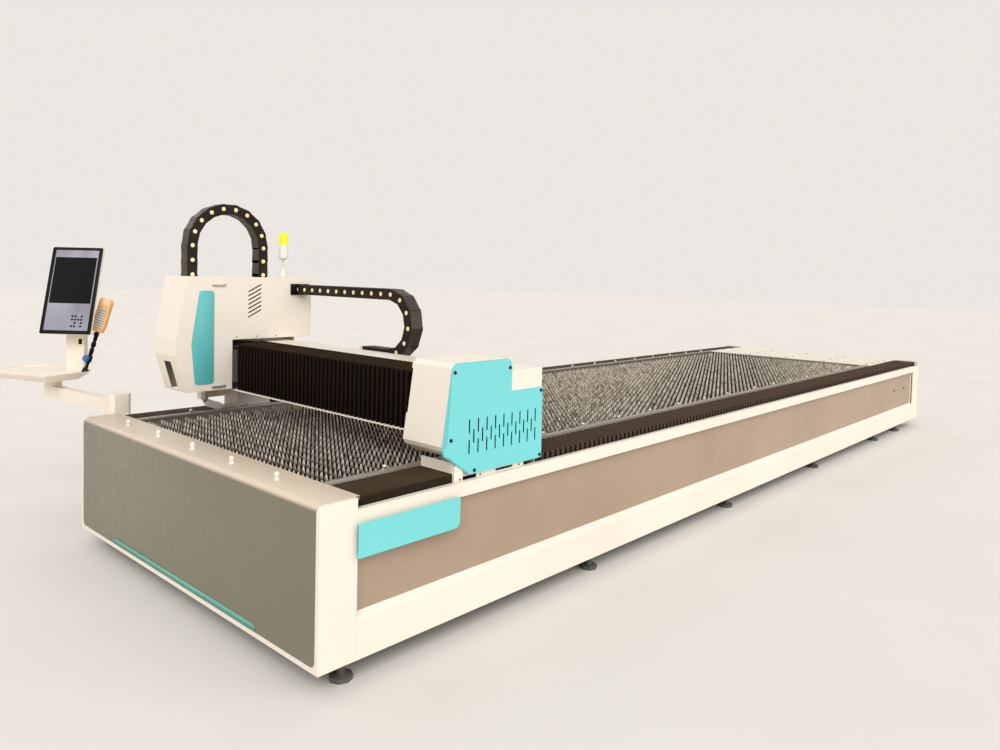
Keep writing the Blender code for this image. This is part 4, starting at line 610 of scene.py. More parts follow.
# Nodes that keep the shape of their solids: the finish and the width of their rounded edges
KEPT_NODES = {
    "near_end_cap": ("cream", 0.010),
    "far_end_cap": ("cream", 0.006),
    "near_side_skirt": ("cream", 0.003),
    "far_side_skirt": ("cream", 0.003),
    "near_side_panel": ("side", 0.002),
    "far_side_panel": ("side", 0.002),
    "far_end_panel": ("end", 0.004),
    "far_end_deck": ("deck", 0.003),
    "near_casing": ("casing", 0.026),
    "far_casing": ("casing", 0.010),
    "near_carriage": ("cream", 0.002),
    "far_carriage": ("cream", 0.002),
    "head_cover": ("casing", 0.004),
    "head_carriage": ("frame", 0.002),
    "gantry_beam": ("frame", 0.003),
    "beam_rail_upper": ("steel", 0.001),
    "beam_rail_lower": ("steel", 0.001),
    "near_rail": ("steel", 0.001),
    "far_rail": ("steel", 0.001),
    "bed_frame": ("frame", 0.0),
    "slag_tray": ("frame", 0.0),
    "near_drive_motor": ("black", 0.003),
    "far_drive_motor": ("black", 0.003),
    "z_slide": ("grey", 0.002),
    "cutting_head": ("steel", 0.0),
    "nozzle": ("copper", 0.0),
    "chain_tray": ("cream", 0.001),
    "console_bracket": ("cream", 0.003),
    "console_arm": ("cream", 0.004),
    "console_tray": ("cream", 0.008),
    "monitor_column": ("cream", 0.004),
    "sign_plate": ("teal", 0.001),
    "near_end_strip": ("strip", 0.001),
}


# The machine's settings


def colour_of(name, description, default):
    return bpy.props.FloatVectorProperty(
        name=name, description=description, default=default, subtype="COLOR", min=0.0, max=1.0)


class MachineSettings(bpy.types.PropertyGroup):
    """Colours and counts that a user may change."""

    cream: colour_of("Stove paint", "Cream white of the frame and covers", (0.88, 0.795, 0.685))
    side_panel: colour_of("Side panel", "Taupe of the recessed side panels", (0.400, 0.290, 0.207))
    end_panel: colour_of("End panel", "Olive grey of the folded end panel", (0.188, 0.170, 0.119))
    teal: colour_of("Teal plates", "Teal of the side plate and the sign plate", (0.175, 0.655, 0.665))
    pendant: colour_of("Pendant", "Orange of the hand pendant", (0.84, 0.47, 0.19))
    floor: colour_of("Floor", "Pale floor under the machine", (0.78, 0.74, 0.69))
    slat_pitch: bpy.props.FloatProperty(
        name="Slat pitch", description="Distance between two cutting slats",
        default=0.073, unit="LENGTH", min=0.03, max=0.2)
    tooth_pitch: bpy.props.FloatProperty(
        name="Tooth pitch", description="Distance between two points on a slat",
        default=0.0365, unit="LENGTH", min=0.02, max=0.2)
    rail_folds: bpy.props.IntProperty(
        name="Rail folds", description="Folds in each long rail bellows",
        default=160, min=20, max=300)
    beam_folds: bpy.props.IntProperty(
        name="Beam folds", description="Folds in the long beam bellows",
        default=44, min=10, max=120)


def settings():
    return bpy.context.scene.cutting_machine


# Operators


class CUTTER_OT_stage(bpy.types.Operator):
    """Floor, lamps and the camera at the photograph's angle"""

    bl_idname = "cutter.stage"
    bl_label = "Stage"

    def execute(self, context):
        FINISHES.update(make_finishes(settings()))
        deselect()
        floor_size, floor_middle = 90, (8, 8, 0)
        bpy.ops.mesh.primitive_plane_add(size=floor_size, location=floor_middle)
        floor = settle(named(bpy.context.object, "floor"))
        floor.data.materials.append(FINISHES["floor"])
        world = bpy.data.worlds.new("studio")
        context.scene.world = world
        world.use_nodes = True
        self.light_world(world.node_tree)
        for name, direction, softness, power in (
                ("key", (0.62, 0.50, -0.60), 40.0, 1.95),
                ("fill", (-0.25, 0.82, -0.50), 60.0, 1.00),
                ("back", (0.10, -0.75, -0.65), 60.0, 0.45)):
            bpy.ops.object.light_add(type="SUN", location=(0, 0, 8))
            lamp = bpy.context.object
            lamp.name = name
            lamp.data.angle = math.radians(softness)
            lamp.data.energy = power
            lamp.rotation_euler = Vector(direction).to_track_quat("-Z", "Y").to_euler()
        self.aim_camera(context)
        context.scene.view_settings.view_transform = "Standard"
        return {"FINISHED"}

    def light_world(self, tree):
        """Soft light all round; what the camera and mirrors see of it is a pale backdrop."""
        back = tree.nodes["Background"]
        back.inputs["Color"].default_value = (1.0, 0.975, 0.93, 1.0)
        back.inputs["Strength"].default_value = 0.46
        seen = tree.nodes.new("ShaderNodeBackground")
        seen.inputs["Color"].default_value = (0.83, 0.80, 0.76, 1.0)
        seen.inputs["Strength"].default_value = 1.0
        path = tree.nodes.new("ShaderNodeLightPath")
        total = path.outputs["Is Camera Ray"]
        for name in ("Is Glossy Ray", "Is Transmission Ray"):
            add = tree.nodes.new("ShaderNodeMath")
            add.operation = "MAXIMUM"
            tree.links.new(total, add.inputs[0])
            tree.links.new(path.outputs[name], add.inputs[1])
            total = add.outputs[0]
        mix = tree.nodes.new("ShaderNodeMixShader")
        tree.links.new(total, mix.inputs["Fac"])
        tree.links.new(back.outputs["Background"], mix.inputs[1])
        tree.links.new(seen.outputs["Background"], mix.inputs[2])
        tree.links.new(mix.outputs["Shader"], tree.nodes["World Output"].inputs["Surface"])

    def aim_camera(self, context):
        forward = Vector((0.74483, 0.66601, -0.04074)).normalized()
        right = Vector((0.66710, -0.74458, 0.02405)).normalized()
        up = right.cross(forward).normalized()
        right = forward.cross(up)
        pose = Matrix((right, up, -forward)).transposed().to_4x4()
        pose.translation = Vector((-5.71676, -4.40258, 1.66450))
        bpy.ops.object.camera_add()
        camera = bpy.context.object
        camera.name = "camera"
        camera.matrix_world = pose
        camera.data.sensor_width = 36.0
        camera.data.lens = 27.626
        camera.data.shift_x = -0.01572
        camera.data.shift_y = -0.06811
        camera.data.clip_end = 200.0
        context.scene.camera = camera


class CUTTER_OT_sheet_metal(bpy.types.Operator):
    """Rounded edges and stove paint for the frame, covers and castings"""

    bl_idname = "cutter.sheet_metal"
    bl_label = "Sheet metal and castings"

    def execute(self, context):
        wide_edge = 0.004
        for name, (finish, edge) in KEPT_NODES.items():
            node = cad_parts[name]
            if not node.material_slots:
                node.data.materials.append(None)
            for part in node.material_slots:
                part.material = FINISHES[finish]
            if not edge:
                continue
            weld = node.modifiers.new("seams", "WELD")
            weld.merge_threshold = MERGE
            bevel = node.modifiers.new("edges", "BEVEL")
            bevel.width = edge
            bevel.segments = 3 if edge >= wide_edge else 2
            bevel.limit_method = "ANGLE"
            bevel.angle_limit = math.radians(40)
        return {"FINISHED"}


class CUTTER_OT_slats(bpy.types.Operator):
    """Toothed cutting slats on edge across the bed, and the combs that hold them"""

    bl_idname = "cutter.slats"
    bl_label = "Cutting slats"

    def execute(self, context):
        s = settings()
        low, high, base, valley, tip = 0.2905, 2.1195, 0.553, 0.618, 0.656
        thickness, comb_top, comb_wide = 0.0035, 0.600, 0.006
        teeth = round((high - low) / s.tooth_pitch)
        pitch = (high - low) / teeth
        tooth = ((0.10, valley), (0.42, tip), (0.58, tip), (0.90, valley))
        outline = [(low, base)]
        for i in range(teeth):
            outline += [(low + pitch * (i + share), z) for share, z in tooth]
        outline += [(high, base)]
        for name, first, last in (("slat_bank_near", 0.240, 3.735), ("slat_bank_far", 3.745, 7.285)):
            count = int((last - first) / s.slat_pitch) + 1
            slat = drawn(outline, "x", first, first + thickness, name + "_slats")
            repeated(slat, count, (s.slat_pitch, 0, 0))
            dressed(slat, "slat", "bed", "slat_steel", name)
            start, end = first - 0.012, last - 0.002
            combs = [block((start, y, LEDGE), (end, y + comb_wide, comb_top), "comb")
                     for y in (0.293, 0.745, 1.200, 1.660, 2.111)]
            dressed(joined(combs, name + "_combs"), "slat", "bed", "slat_steel", name)
        return {"FINISHED"}


class CUTTER_OT_transfers(bpy.types.Operator):
    """Bright strips beside the slats with their ball transfer units"""

    bl_idname = "cutter.transfers"
    bl_label = "Ball transfer units"

    def execute(self, context):
        top, inner, outer, middle = 0.6665, 0.2885, 0.2623, 0.2755
        lip, wall, start, end = 0.012, 0.0025, 0.2053, 7.2897
        section = rounded(
            [(outer, LEDGE), (outer, top), (inner, top), (inner, top - lip), (inner - wall, top - lip),
             (inner - wall, top - wall), (outer + wall, top - wall), (outer + wall, LEDGE)],
            (0, 0.003, 0.003, 0, 0, 0, 0, 0), 3)
        places = [0.530 + 0.377 * k for k in range(10)] + [4.410 + 0.376 * k for k in range(8)]
        cup_top, sides = 0.0145, 14
        cup = [(0.0145, 0.0), (0.0145, 0.003), (0.0115, 0.005), (0.0115, cup_top), (0.0095, cup_top)]
        ball = arc((0, cup_top - 0.003), 0.0100, 0, 84, 5)
        for side, across in (("near", lambda y: y), ("far", lambda y: BED_WIDTH - y)):
            node = f"{side}_edge_strip"
            strip = drawn([(across(y), z) for y, z in section], "x", start, end, f"{side}_strip_angle")
            dressed(shade(strip), "dull_steel", "bed", "bright_steel", node)
            poses = [Matrix.Translation(at(x, across(middle), top)) for x in places]
            for profile, name, look in ((cup, "cups", "steel"), (ball, "balls", "ball")):
                shape = turned(profile, (0, 0, 0), name, sides)
                piece = spread(shape, poses, f"{side}_transfer_{name}")
                dressed(piece, look, "bed", "bright_steel", node)
        return {"FINISHED"}


class CUTTER_OT_near_end(bpy.types.Operator):
    """Folded end sheet with its rolled top edge, and the ball posts on it"""

    bl_idname = "cutter.near_end"
    bl_label = "Near end"

    def execute(self, context):
        self.fold()
        self.posts()
        return {"FINISHED"}

    def fold(self):
        """The sheet from the lower rim up, over the rolled edge and back to a lip."""
        rim, radius, rear, lip, sheet, gap, beyond = 0.0223, 0.030, 0.205, 0.018, 0.0035, 0.0003, 0.01
        centre = (radius, BED_TOP - radius)
        line = [
            (0.0, rim), *arc(centre, radius, 180, 90, 8), (rear, BED_TOP), (rear, BED_TOP - lip),
            (rear - sheet, BED_TOP - lip), (rear - sheet, BED_TOP - sheet),
            *arc(centre, radius - sheet, 90, 180, 8), (sheet, rim)]
        panel = drawn(line, "y", rim + gap, BED_WIDTH - rim - gap, "near_end_fold")
        cutters = []
        for y, inside, start in ((rim, 1, 180), (BED_WIDTH - rim, -1, 0)):
            middle = (y + radius * inside, rim + radius)
            outside = y - beyond * inside
            curve = arc(middle, radius, start, start + 90 * inside, 8)
            curve += [(middle[0], rim - beyond), (outside, rim - beyond), (outside, middle[1])]
            cutters.append(drawn(curve, "x", -beyond, beyond, "corner"))
        cut(panel, *cutters)
        soften(panel, 0.0012, 2)
        dressed(panel, "end_fold", "bed", "taupe_paint", "near_end_panel")

    def posts(self):
        x, first, pitch, count, sides = 0.090, 0.455, 0.390, 5, 16
        post = [(0.015, 0.0), (0.015, 0.003), (0.0105, 0.0045), (0.0095, 0.018),
                (0.0125, 0.020), (0.0125, 0.026), (0.010, 0.0275)]
        ball = arc((0, 0.0255), 0.0105, 0, 84, 5)
        places = [(x, first + pitch * k, BED_TOP) for k in range(count)]
        for profile, name, look in ((post, "end_posts", "white_plastic"), (ball, "end_post_balls", "ball")):
            shapes = [turned(profile, place, "post", sides) for place in places]
            dressed(joined(shapes, name), look, "bed", "bright_steel", "near_end_panel")


# Outlines of the side panel in (x, z): its face, and the wider line that its fold runs back to
SIDE_PANEL = {
    "face": [(0.676, 0.776), (0.699, 1.132), (0.721, 1.158), (1.086, 1.158), (1.100, 1.132),
             (1.100, 1.001), (1.336, 1.001), (1.336, 0.640), (0.827, 0.640), (0.688, 0.742)],
    "radii": [0.020, 0.016, 0.016, 0.024, 0.014, 0.002, 0.010, 0.008, 0.014, 0.022],
    "back": [(0.6585, 0.776), (0.7125, 1.138), (0.7330, 1.1605), (1.090, 1.1605), (1.1015, 1.132),
             (1.1015, 1.0015), (1.3365, 1.0015), (1.3365, 0.6395), (0.822, 0.6395), (0.668, 0.742)],
}


class CUTTER_OT_side_panel(bpy.types.Operator):
    """Teal panel on the near casing, with its folded edge, vent slots, screws and brackets"""

    bl_idname = "cutter.side_panel"
    bl_label = "Side panel of the gantry"

    def execute(self, context):
        face = rounded(SIDE_PANEL["face"], SIDE_PANEL["radii"])
        back = rounded(SIDE_PANEL["back"], SIDE_PANEL["radii"])
        front, rear, wall = 0.0185, 0.0352, 0.0022
        panel = drawn(face, "y", front, front + wall, "side_panel")
        cut(panel, self.slots(front - 0.01, front + 0.02))
        roll = ((0.0, 0.0004), (0.35, 0.0016), (0.72, 0.0046),
                (0.93, 0.0095), (1.0, 0.0150), (1.0, rear - front))
        rings = [[(a[0] + (b[0] - a[0]) * share, front + depth, a[1] + (b[1] - a[1]) * share)
                  for a, b in zip(face, back)] for share, depth in roll]
        skirt = ruled(rings, "side_panel_fold", 0.0018)
        piece = even(joined([panel, skirt], "side_panel"))
        dressed(piece, "teal", "gantry", "teal_paint", "near_side_plate")
        # A near-black sheet behind the vent slots: painted shade inside the casing.
        void = plate((0.80, 0.72), (1.30, 0.91), 0, "y", (0.0232, 0.0236), "vent_back")
        dressed(void, "void", "gantry", "frame_paint")
        spots = ((0.716, 1.121), (1.085, 1.118), (1.322, 0.985),
                 (0.699, 0.815), (0.852, 0.655), (1.322, 0.655))
        places = [(x, front, z) for x, z in spots]
        screws(places, (0, -1, 0), 0.0088, "side_panel_screws", "gantry")
        self.brackets()
        return {"FINISHED"}

    def slots(self, near, far):
        """Cutters for three rows of upright vent slots, the middle row set between the others."""
        first, pitch, long, r = 0.811, 0.0584, 0.068, 0.0048
        slots = []
        for floor, count, shift in ((0.734, 9, 0.0), (0.782, 8, 0.0292), (0.830, 9, 0.0)):
            for k in range(count):
                x = first + shift + pitch * k + r
                line = arc((x, floor + long - r), r, 180, 0, 4) + arc((x, floor + r), r, 0, -180, 4)
                slots.append(drawn(line, "y", near, far, "slot"))
        return joined(slots, "slots")

    def brackets(self):
        """The tab and the slotted strip that stand between the skirt and the rail bellows."""
        front, rear, beyond = 0.0312, 0.0345, 0.01
        tab = plate((0.735, 0.602), (0.790, 0.690), 0.003, "y", (front, rear), "tab", 0.0008)
        strip = plate((0.880, 0.606), (1.215, 0.6382), 0.003, "y", (front, rear), "strip", 0.0008)
        ends = (front - beyond, rear + beyond)
        slot = plate((1.010, 0.6215), (1.135, 0.6330), 0.0055, "y", ends, "slot")
        cut(strip, slot)
        dressed(even(joined([tab, strip], "casing_brackets")), "cream", "gantry", "white_paint")
        spots = ((0.772, 0.6225), (0.905, 0.6245), (1.180, 0.6255))
        places = [(x, front, z) for x, z in spots]
        screws(places, (0, -1, 0), 0.0045, "bracket_screws", "gantry")


def ruled(rings, name, thickness):
    """A band of sheet through closed rings of points, each of the same count."""
    deselect()
    count = len(rings[0])
    bpy.ops.mesh.primitive_circle_add(vertices=count, radius=1, fill_type="NOTHING")
    band = named(bpy.context.object, name)
    for vertex, spot in zip(band.data.vertices, rings[0]):
        vertex.co = at(*spot)
    for k, ring in enumerate(rings[1:]):
        activate(band)
        bpy.ops.object.mode_set(mode="EDIT")
        if not k:
            bpy.ops.mesh.select_all(action="SELECT")
        bpy.ops.mesh.extrude_region_move(TRANSFORM_OT_translate={"value": (0, 0, 0)})
        close_edit()
        for vertex, spot in zip(band.data.vertices[count * (k + 1):], ring):
            vertex.co = at(*spot)
    return face_out(modified(band, "SOLIDIFY", thickness=thickness, offset=0.0))


def folded(run, section, folds, name, depth):
    """Folded cloth along a run: each fold is a strip laid over the section, drawn in by depth
    at its two ends, and copied along the run."""
    start, end, axis = run
    step = (end - start) / folds
    spots = ((0.0, 1.0), (0.30, 0.25), (0.5, 0.0), (0.70, 0.25), (1.0, 1.0))
    across = len(section(0.0))
    deselect()
    bpy.ops.mesh.primitive_grid_add(x_subdivisions=across - 1, y_subdivisions=len(spots) - 1, size=1)
    fold = named(bpy.context.object, name)
    # The fold attribute, 0 in the valleys and 1 on the crests, carries the painted crest highlight and
    # valley shade.
    crest_lit_and_rubbed = fold.data.attributes.new("fold", "FLOAT", "POINT")
    for k, (share, inset) in enumerate(spots):
        for i, (u, v) in enumerate(section(inset * depth)):
            along = start + step * share
            index = k * across + i
            fold.data.vertices[index].co = at(along, u, v) if axis == "x" else at(u, along, v)
            crest_lit_and_rubbed.data[index].value = 1.0 - inset
    repeated(fold, folds, (step, 0, 0) if axis == "x" else (0, step, 0))
    edit_all(fold)
    bpy.ops.mesh.remove_doubles(threshold=MERGE)
    close_edit()
    return shade(modified(fold, "SOLIDIFY", thickness=0.0012, offset=0.0), 28)


def rail_section(outer, inner, low, top, across):
    """The bellows' section over a bed rail, as a function of how far the cloth is drawn in."""
    corner, blunt = 0.005, 0.0015

    def section(inset):
        a, b, high = outer + inset, inner - inset, top - inset
        line = [(a, low), (a, high - corner), (a + 0.002, high - blunt), (a + corner, high),
                (b - corner, high), (b - 0.002, high - blunt), (b, high - corner), (b, low)]
        return across(line)

    return section


class CUTTER_OT_rail_bellows(bpy.types.Operator):
    """Folding covers over the two bed rails, shut in front of the gantry and open behind it"""

    bl_idname = "cutter.rail_bellows"
    bl_label = "Rail bellows"

    def execute(self, context):
        folds = settings().rail_folds
        front_start, front_end, rear_start, rear_end = 0.1808, 0.7312, 1.309, 8.267
        for side, across in (
                ("near", lambda line: line),
                ("far", lambda line: [(BED_WIDTH - y, z) for y, z in line[::-1]])):
            section = rail_section(0.037, 0.257, 0.601, 0.6545, across)
            run = (front_start, front_end, "x")
            shut = folded(run, section, folds // 2, f"{side}_bellows_front_cloth", 0.0035)
            dressed(shut, "rail_cloth_front", None, "bellows_cloth", f"{side}_bellows_front")
            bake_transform(shut)
            run = (rear_start, rear_end, "x")
            wide = folded(run, section, folds, f"{side}_bellows_rear_cloth", 0.011)
            dressed(wide, "rail_cloth_rear", "bed", "bellows_cloth", f"{side}_bellows_rear")
            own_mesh(wide)
        return {"FINISHED"}


# Ends of the beam's folded covers: the near casing, the head's two sides and the far casing
COVER_START, HEAD_NEAR, HEAD_FAR, COVER_END = 0.3110, 1.9290, 2.2110, 2.3190


class CUTTER_OT_beam_bellows(bpy.types.Operator):
    """Folding covers over the beam's front, on both sides of the head"""

    bl_idname = "cutter.beam_bellows"
    bl_label = "Beam bellows"

    def execute(self, context):
        def section(inset):
            front, low, top = 0.691 + inset, 0.823 + inset, 1.106 - inset
            corner, blunt = 0.006, 0.0015
            return [(0.785, low), (front + corner, low), (front + blunt, low + blunt), (front, low + corner),
                    (front, top - corner), (front + blunt, top - blunt), (front + corner, top), (0.929, top)]

        folds, far_folds = settings().beam_folds, 22
        near = folded((COVER_START, HEAD_NEAR, "y"), section, folds, "beam_bellows_near_cloth", 0.011)
        dressed(near, "beam_cloth", "gantry", "bellows_cloth", "beam_bellows_near")
        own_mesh(near)
        far = folded((HEAD_FAR, COVER_END, "y"), section, far_folds, "beam_bellows_far_cloth", 0.003)
        dressed(far, "beam_cloth", None, "bellows_cloth", "beam_bellows_far")
        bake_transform(far)
        return {"FINISHED"}


def chain_link(pitch, above, below, name):
    """One chain link about its own middle: cranked side plates that nest in the next link, lids
    with a raised bar, whose lengths above and below are shares of the pitch, and pivot discs."""
    half, reach, end = LINK_WIDE / 2, pitch / 2, LINK_HIGH / 2
    neck = reach * 0.6
    outer = arc((-reach, 0), end, 270, 90, 6) + arc((reach, 0), end + 0.0008, 116, 244, 5)
    inner = [(-neck, end - 0.003), *arc((reach, 0), end - 0.0015, 90, -90, 6), (-neck, 0.003 - end)]
    disc = [(0.0126, 0.0), (0.0126, 0.0010), (0.0105, 0.0020), (0.0045, 0.0020), (0.0035, 0.0012)]
    plates, discs, lids = [], [], []
    for side in (-1, 1):
        low, high = sorted((side * half, side * (half - 0.0045)))
        plates.append(drawn(outer, "x", low, high, "plate", 0.0007, 1))
        low, high = sorted((side * (half - 0.0025), side * (half - 0.008)))
        plates.append(drawn(inner, "x", low, high, "inner"))
        discs.append(turned(disc, (side * half, -reach, 0), "disc", 14, (side, 0, 0)))
    for side, share in ((1, above), (-1, below)):
        long = reach * share
        base, face, crest = (side * (end - drop) for drop in (0.0055, 0.0012, -0.0002))
        for margin, first, last, height, edge in (
                (0.0035, -1.0, 1.0, face, 0.001), (0.008, -0.62, -0.50, crest, 0.0),
                (0.012, -0.30, 0.22, crest, 0.0006), (0.008, 0.46, 0.58, crest, 0.0)):
            low, high = sorted((base, height))
            wide = half - margin
            lids.append(block((-wide, long * first, low), (wide, long * last, high), "lid", edge, 1))
    return joined(plates, name), joined(lids, name + "_lids"), joined(discs, name + "_discs")


def chain(poses, pitch, lids, name, finish):
    """The links of one stretch in three pieces: side plates, lids and pivot discs."""
    looks = (("_plates", "chain"), ("_lids", "chain_lid"), ("_discs", "chain_disc"))
    for part, (extra, look) in zip(chain_link(pitch, *lids, name), looks):
        piece = spread(part, poses, name + extra)
        finish(dressed(piece, look, None, "chain_plastic", name))


def along_y(x, y, z, turn):
    return Matrix.Translation(at(x, y, z)) @ Matrix.Rotation(math.radians(turn), 4, "X")


def along_arch(x, y, z, turn):
    """A link that travels in the upright plane along the bed."""
    lean = Matrix.Rotation(math.radians(turn), 4, "Y")
    return Matrix.Translation(at(x, y, z)) @ lean @ Matrix.Rotation(math.radians(90), 4, "Z")


class CUTTER_OT_chains(bpy.types.Operator):
    """Energy chains: the run along the beam with its travelling bend, and the arch on the head"""

    bl_idname = "cutter.chains"
    bl_label = "Energy chains"

    def execute(self, context):
        self.beam_chain()
        self.arch()
        flange = block((1.060, 1.9215, 1.404), (1.192, 1.9290, 1.4760), "flange", 0.002)
        lug = block((1.072, 1.9100, 1.410), (1.0985, 1.9230, 1.4700), "lug", 0.003)
        dressed(joined([flange, lug], "chain_end_bracket"), "black", "head", "chain_plastic")
        return {"FINISHED"}

    def beam_chain(self):
        """The run that moves with the head, the bend that moves half as far, and the fixed run."""
        x, top, low, bend, end, anchor, lead = 1.1425, 1.440, 1.096, 0.976, 1.930, 1.216, 0.0135
        radius, centre, straight = (top - low) / 2, (top + low) / 2, (0.90, 0.90)
        upper_links, bend_links, lower_links = 11, 6, 3

        def over_beam(piece):
            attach(piece, "head")
            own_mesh(piece)

        pitch = (end - bend) / upper_links
        poses = [along_y(x, bend - lead + pitch * (k + 0.5), top, 180) for k in range(upper_links)]
        chain(poses, pitch, straight, "chain_upper_run", over_beam)
        turn = math.radians(180 / bend_links)
        slope, reach = 2 * math.tan(turn / 2), radius * math.cos(turn / 2)
        pitch = 2 * radius * math.sin(turn / 2)
        inside, outside = slope * (radius - LINK_HIGH / 2), slope * (radius + LINK_HIGH / 2)
        lids = (inside / pitch * 0.90, outside / pitch * 0.93)
        poses = []
        for k in range(bend_links):
            a = lead / radius + math.radians(90) + turn * (k + 0.5)
            y, z = bend + reach * math.cos(a), centre + reach * math.sin(a)
            poses.append(along_y(x, y, z, math.degrees(a) + 90))
        chain(poses, pitch, lids, "chain_bend", lambda piece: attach(piece, "chain_bend"))
        pitch = (anchor - bend - lead) / lower_links
        poses = [along_y(x, bend + lead + pitch * (k + 0.5), low, 0) for k in range(lower_links)]
        chain(poses, pitch, straight, "chain_lower_run",
              lambda piece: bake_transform(piece))

    def arch(self):
        """The chain that stands over the head, from its cover to the vertical slide."""
        front, rear, centre, foot, y = 0.446, 0.906, 1.700, 1.440, 2.0425
        legs, bends = 3, 9
        radius, middle = (rear - front) / 2, (front + rear) / 2
        pitch = (centre - foot) / legs
        turn = math.radians(180 / bends)
        length, reach = 2 * radius * math.sin(turn / 2), radius * math.cos(turn / 2)
        poses = [along_arch(front, y, foot + pitch * (k + 0.5), -90) for k in range(legs)]
        for k in range(bends):
            a = math.pi - turn * (k + 0.5)
            x, z = middle + reach * math.cos(a), centre + reach * math.sin(a)
            poses.append(along_arch(x, y, z, 90 - math.degrees(a)))
        poses += [along_arch(rear, y, centre - pitch * (k + 0.5), 90) for k in range(legs)]
        lids = (2 * (radius + LINK_HIGH / 2) * math.tan(turn / 2) / length * 0.91, 0.82)
        chain(poses, length * 1.04, lids, "z_chain",
              lambda piece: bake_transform(piece))


class CUTTER_OT_head(bpy.types.Operator):
    """The cutting head's latches, inlay, beacon and small screws"""

    bl_idname = "cutter.head"
    bl_label = "Cutting head"

    def execute(self, context):
        line = rounded([(0.408, 1.118), (0.456, 1.432), (0.546, 1.432), (0.546, 0.873), (0.430, 0.873)],
                       (0.03, 0.020, 0.020, 0.020, 0.020))
        inlay = drawn(line, "y", 1.9268, HEAD_FACE, "head_inlay_plate", 0.0008)
        dressed(inlay, "inlay", "head", "teal_paint", "head_inlay")
        for name, z in (("upper", 1.465), ("lower", 0.853)):
            self.latch(name, z)
        places = [(x, HEAD_FACE, z) for x, z in ((0.690, 1.148), (0.824, 1.147), (0.959, 1.146))]
        screws(places, (0, -1, 0), 0.0036, "arm_screws", "head")
        self.beacon()
        return {"FINISHED"}

    def latch(self, name, z):
        """Draw latch: the lever and its barrel swing, the catch and the base stay on the cover."""
        body = f"latch_{name}"

        def sheet(left, right, half, radius, depths, edge, steps=2):
            ends = tuple(HEAD_FACE - depth for depth in depths)
            return plate((left, z - half), (right, z + half), radius, "y", ends, "sheet", edge, steps)

        taper = [(0.556, z - 0.0075), (0.604, z - 0.0055), (0.604, z + 0.0055), (0.556, z + 0.0075)]
        lever = drawn(rounded(taper, 0.003), "y", HEAD_FACE - 0.0080, HEAD_FACE - 0.0030, "lever", 0.0012)
        grip = sheet(0.5415, 0.559, 0.0068, 0.004, (0.0084, 0.0058), 0.0008)
        profile = [(0.0036, 0.0), (0.0036, 0.0145), (0.0026, 0.0152)]
        barrel = turned(profile, (0.608, HEAD_FACE - 0.0045, z - 0.0076), "barrel", 12)
        dressed(joined([lever, grip, barrel], body + "_lever"), "chrome", body, "bright_steel", body)
        base = sheet(0.600, 0.626, 0.0075, 0.004, (0.0012, 0.0002), 0.0004, 1)
        catch = sheet(0.532, 0.548, 0.0060, 0.003, (0.0045, 0.0002), 0.0010)
        dressed(joined([base, catch], f"catch_{name}"), "chrome", "head", "bright_steel")

    def beacon(self):
        """Two ribbed lenses, white under yellow, on a turned foot and neck."""
        x, y, foot, sides = 1.060, 2.020, 1.5153, 36
        neck = [(0.0375, 0.0), (0.0375, 0.004), (0.034, 0.008), (0.026, 0.024),
                (0.0235, 0.042), (0.022, 0.050), (0.012, 0.058), (0.0085, 0.072),
                (0.0085, 0.112), (0.016, 0.118), (0.0295, 0.124), (0.0295, 0.134)]
        base = turned(neck, (x, y, foot), "beacon_foot", sides)
        dressed(base, "white_plastic", "head", "white_paint", "beacon_base")
        groove, rib, ribs = 0.0300, 0.0310, 7
        wave = ((rib, 0.0), (rib, 0.62), (groove, 0.72), (groove, 0.95))
        for name, low, high in (("white", 1.6493, 1.729), ("yellow", 1.7293, 1.8055)):
            tall = high - low
            step = (tall - 0.010) / ribs
            ring = [(groove, 0.0), (rib, 0.002)]
            for k in range(ribs):
                z = 0.003 + step * k
                ring += [(radius, z + step * share) for radius, share in wave]
            if name == "white":
                ring += [(rib, tall - 0.006), (rib, tall)]
            else:
                ring += [(0.0305, tall - 0.006), (0.026, tall - 0.001), (0.012, tall)]
            lens = turned(ring, (x, y, low), f"beacon_{name}", sides)
            dressed(lens, f"lens_{name}", "head", "beacon_lens", "beacon_lens")


class CUTTER_OT_beam(bpy.types.Operator):
    """Toothed plates above and below the beam's folded cover"""

    bl_idname = "cutter.beam"
    bl_label = "Beam plates"

    def execute(self, context):
        start, end, depth, inset = 0.3103, 2.3197, 0.013, 0.004
        pitch = (HEAD_NEAR - COVER_START) / settings().beam_folds
        count = round((end - start) / pitch)
        step = (end - start) / count
        for node, front, rear, low, high, foot_low, foot_high in (
                ("beam_top_plate", 0.908, 1.078, 1.1073, 1.1103, (1.056, 1.0683), (1.074, 1.1080)),
                ("beam_bottom_plate", 0.684, 0.850, 0.8157, 0.8217, (0.828, 0.8180), (0.846, 0.8617))):
            tooth = ((front + depth, 0.0), (front, 0.20), (front, 0.62), (front + depth, 0.82))
            line = [(x, start + step * (k + share)) for k in range(count) for x, share in tooth]
            line += [(rear, end), (rear, start)]
            toothed = drawn(line, "z", low, high, node + "_toothed")
            near_end, far_end = start + inset, end - inset
            foot_start = (foot_low[0], near_end, foot_low[1])
            foot = block(foot_start, (foot_high[0], far_end, foot_high[1]), "foot")
            piece = soften(joined([toothed, foot], node + "_toothed"), 0.0006, 1)
            dressed(piece, "cream", "gantry", "white_paint", node)
        return {"FINISHED"}


HOLDER = (0.30798, 3.31201, 0.8203)


def turn_of(degrees, axis):
    return Matrix.Rotation(math.radians(degrees), 4, axis)


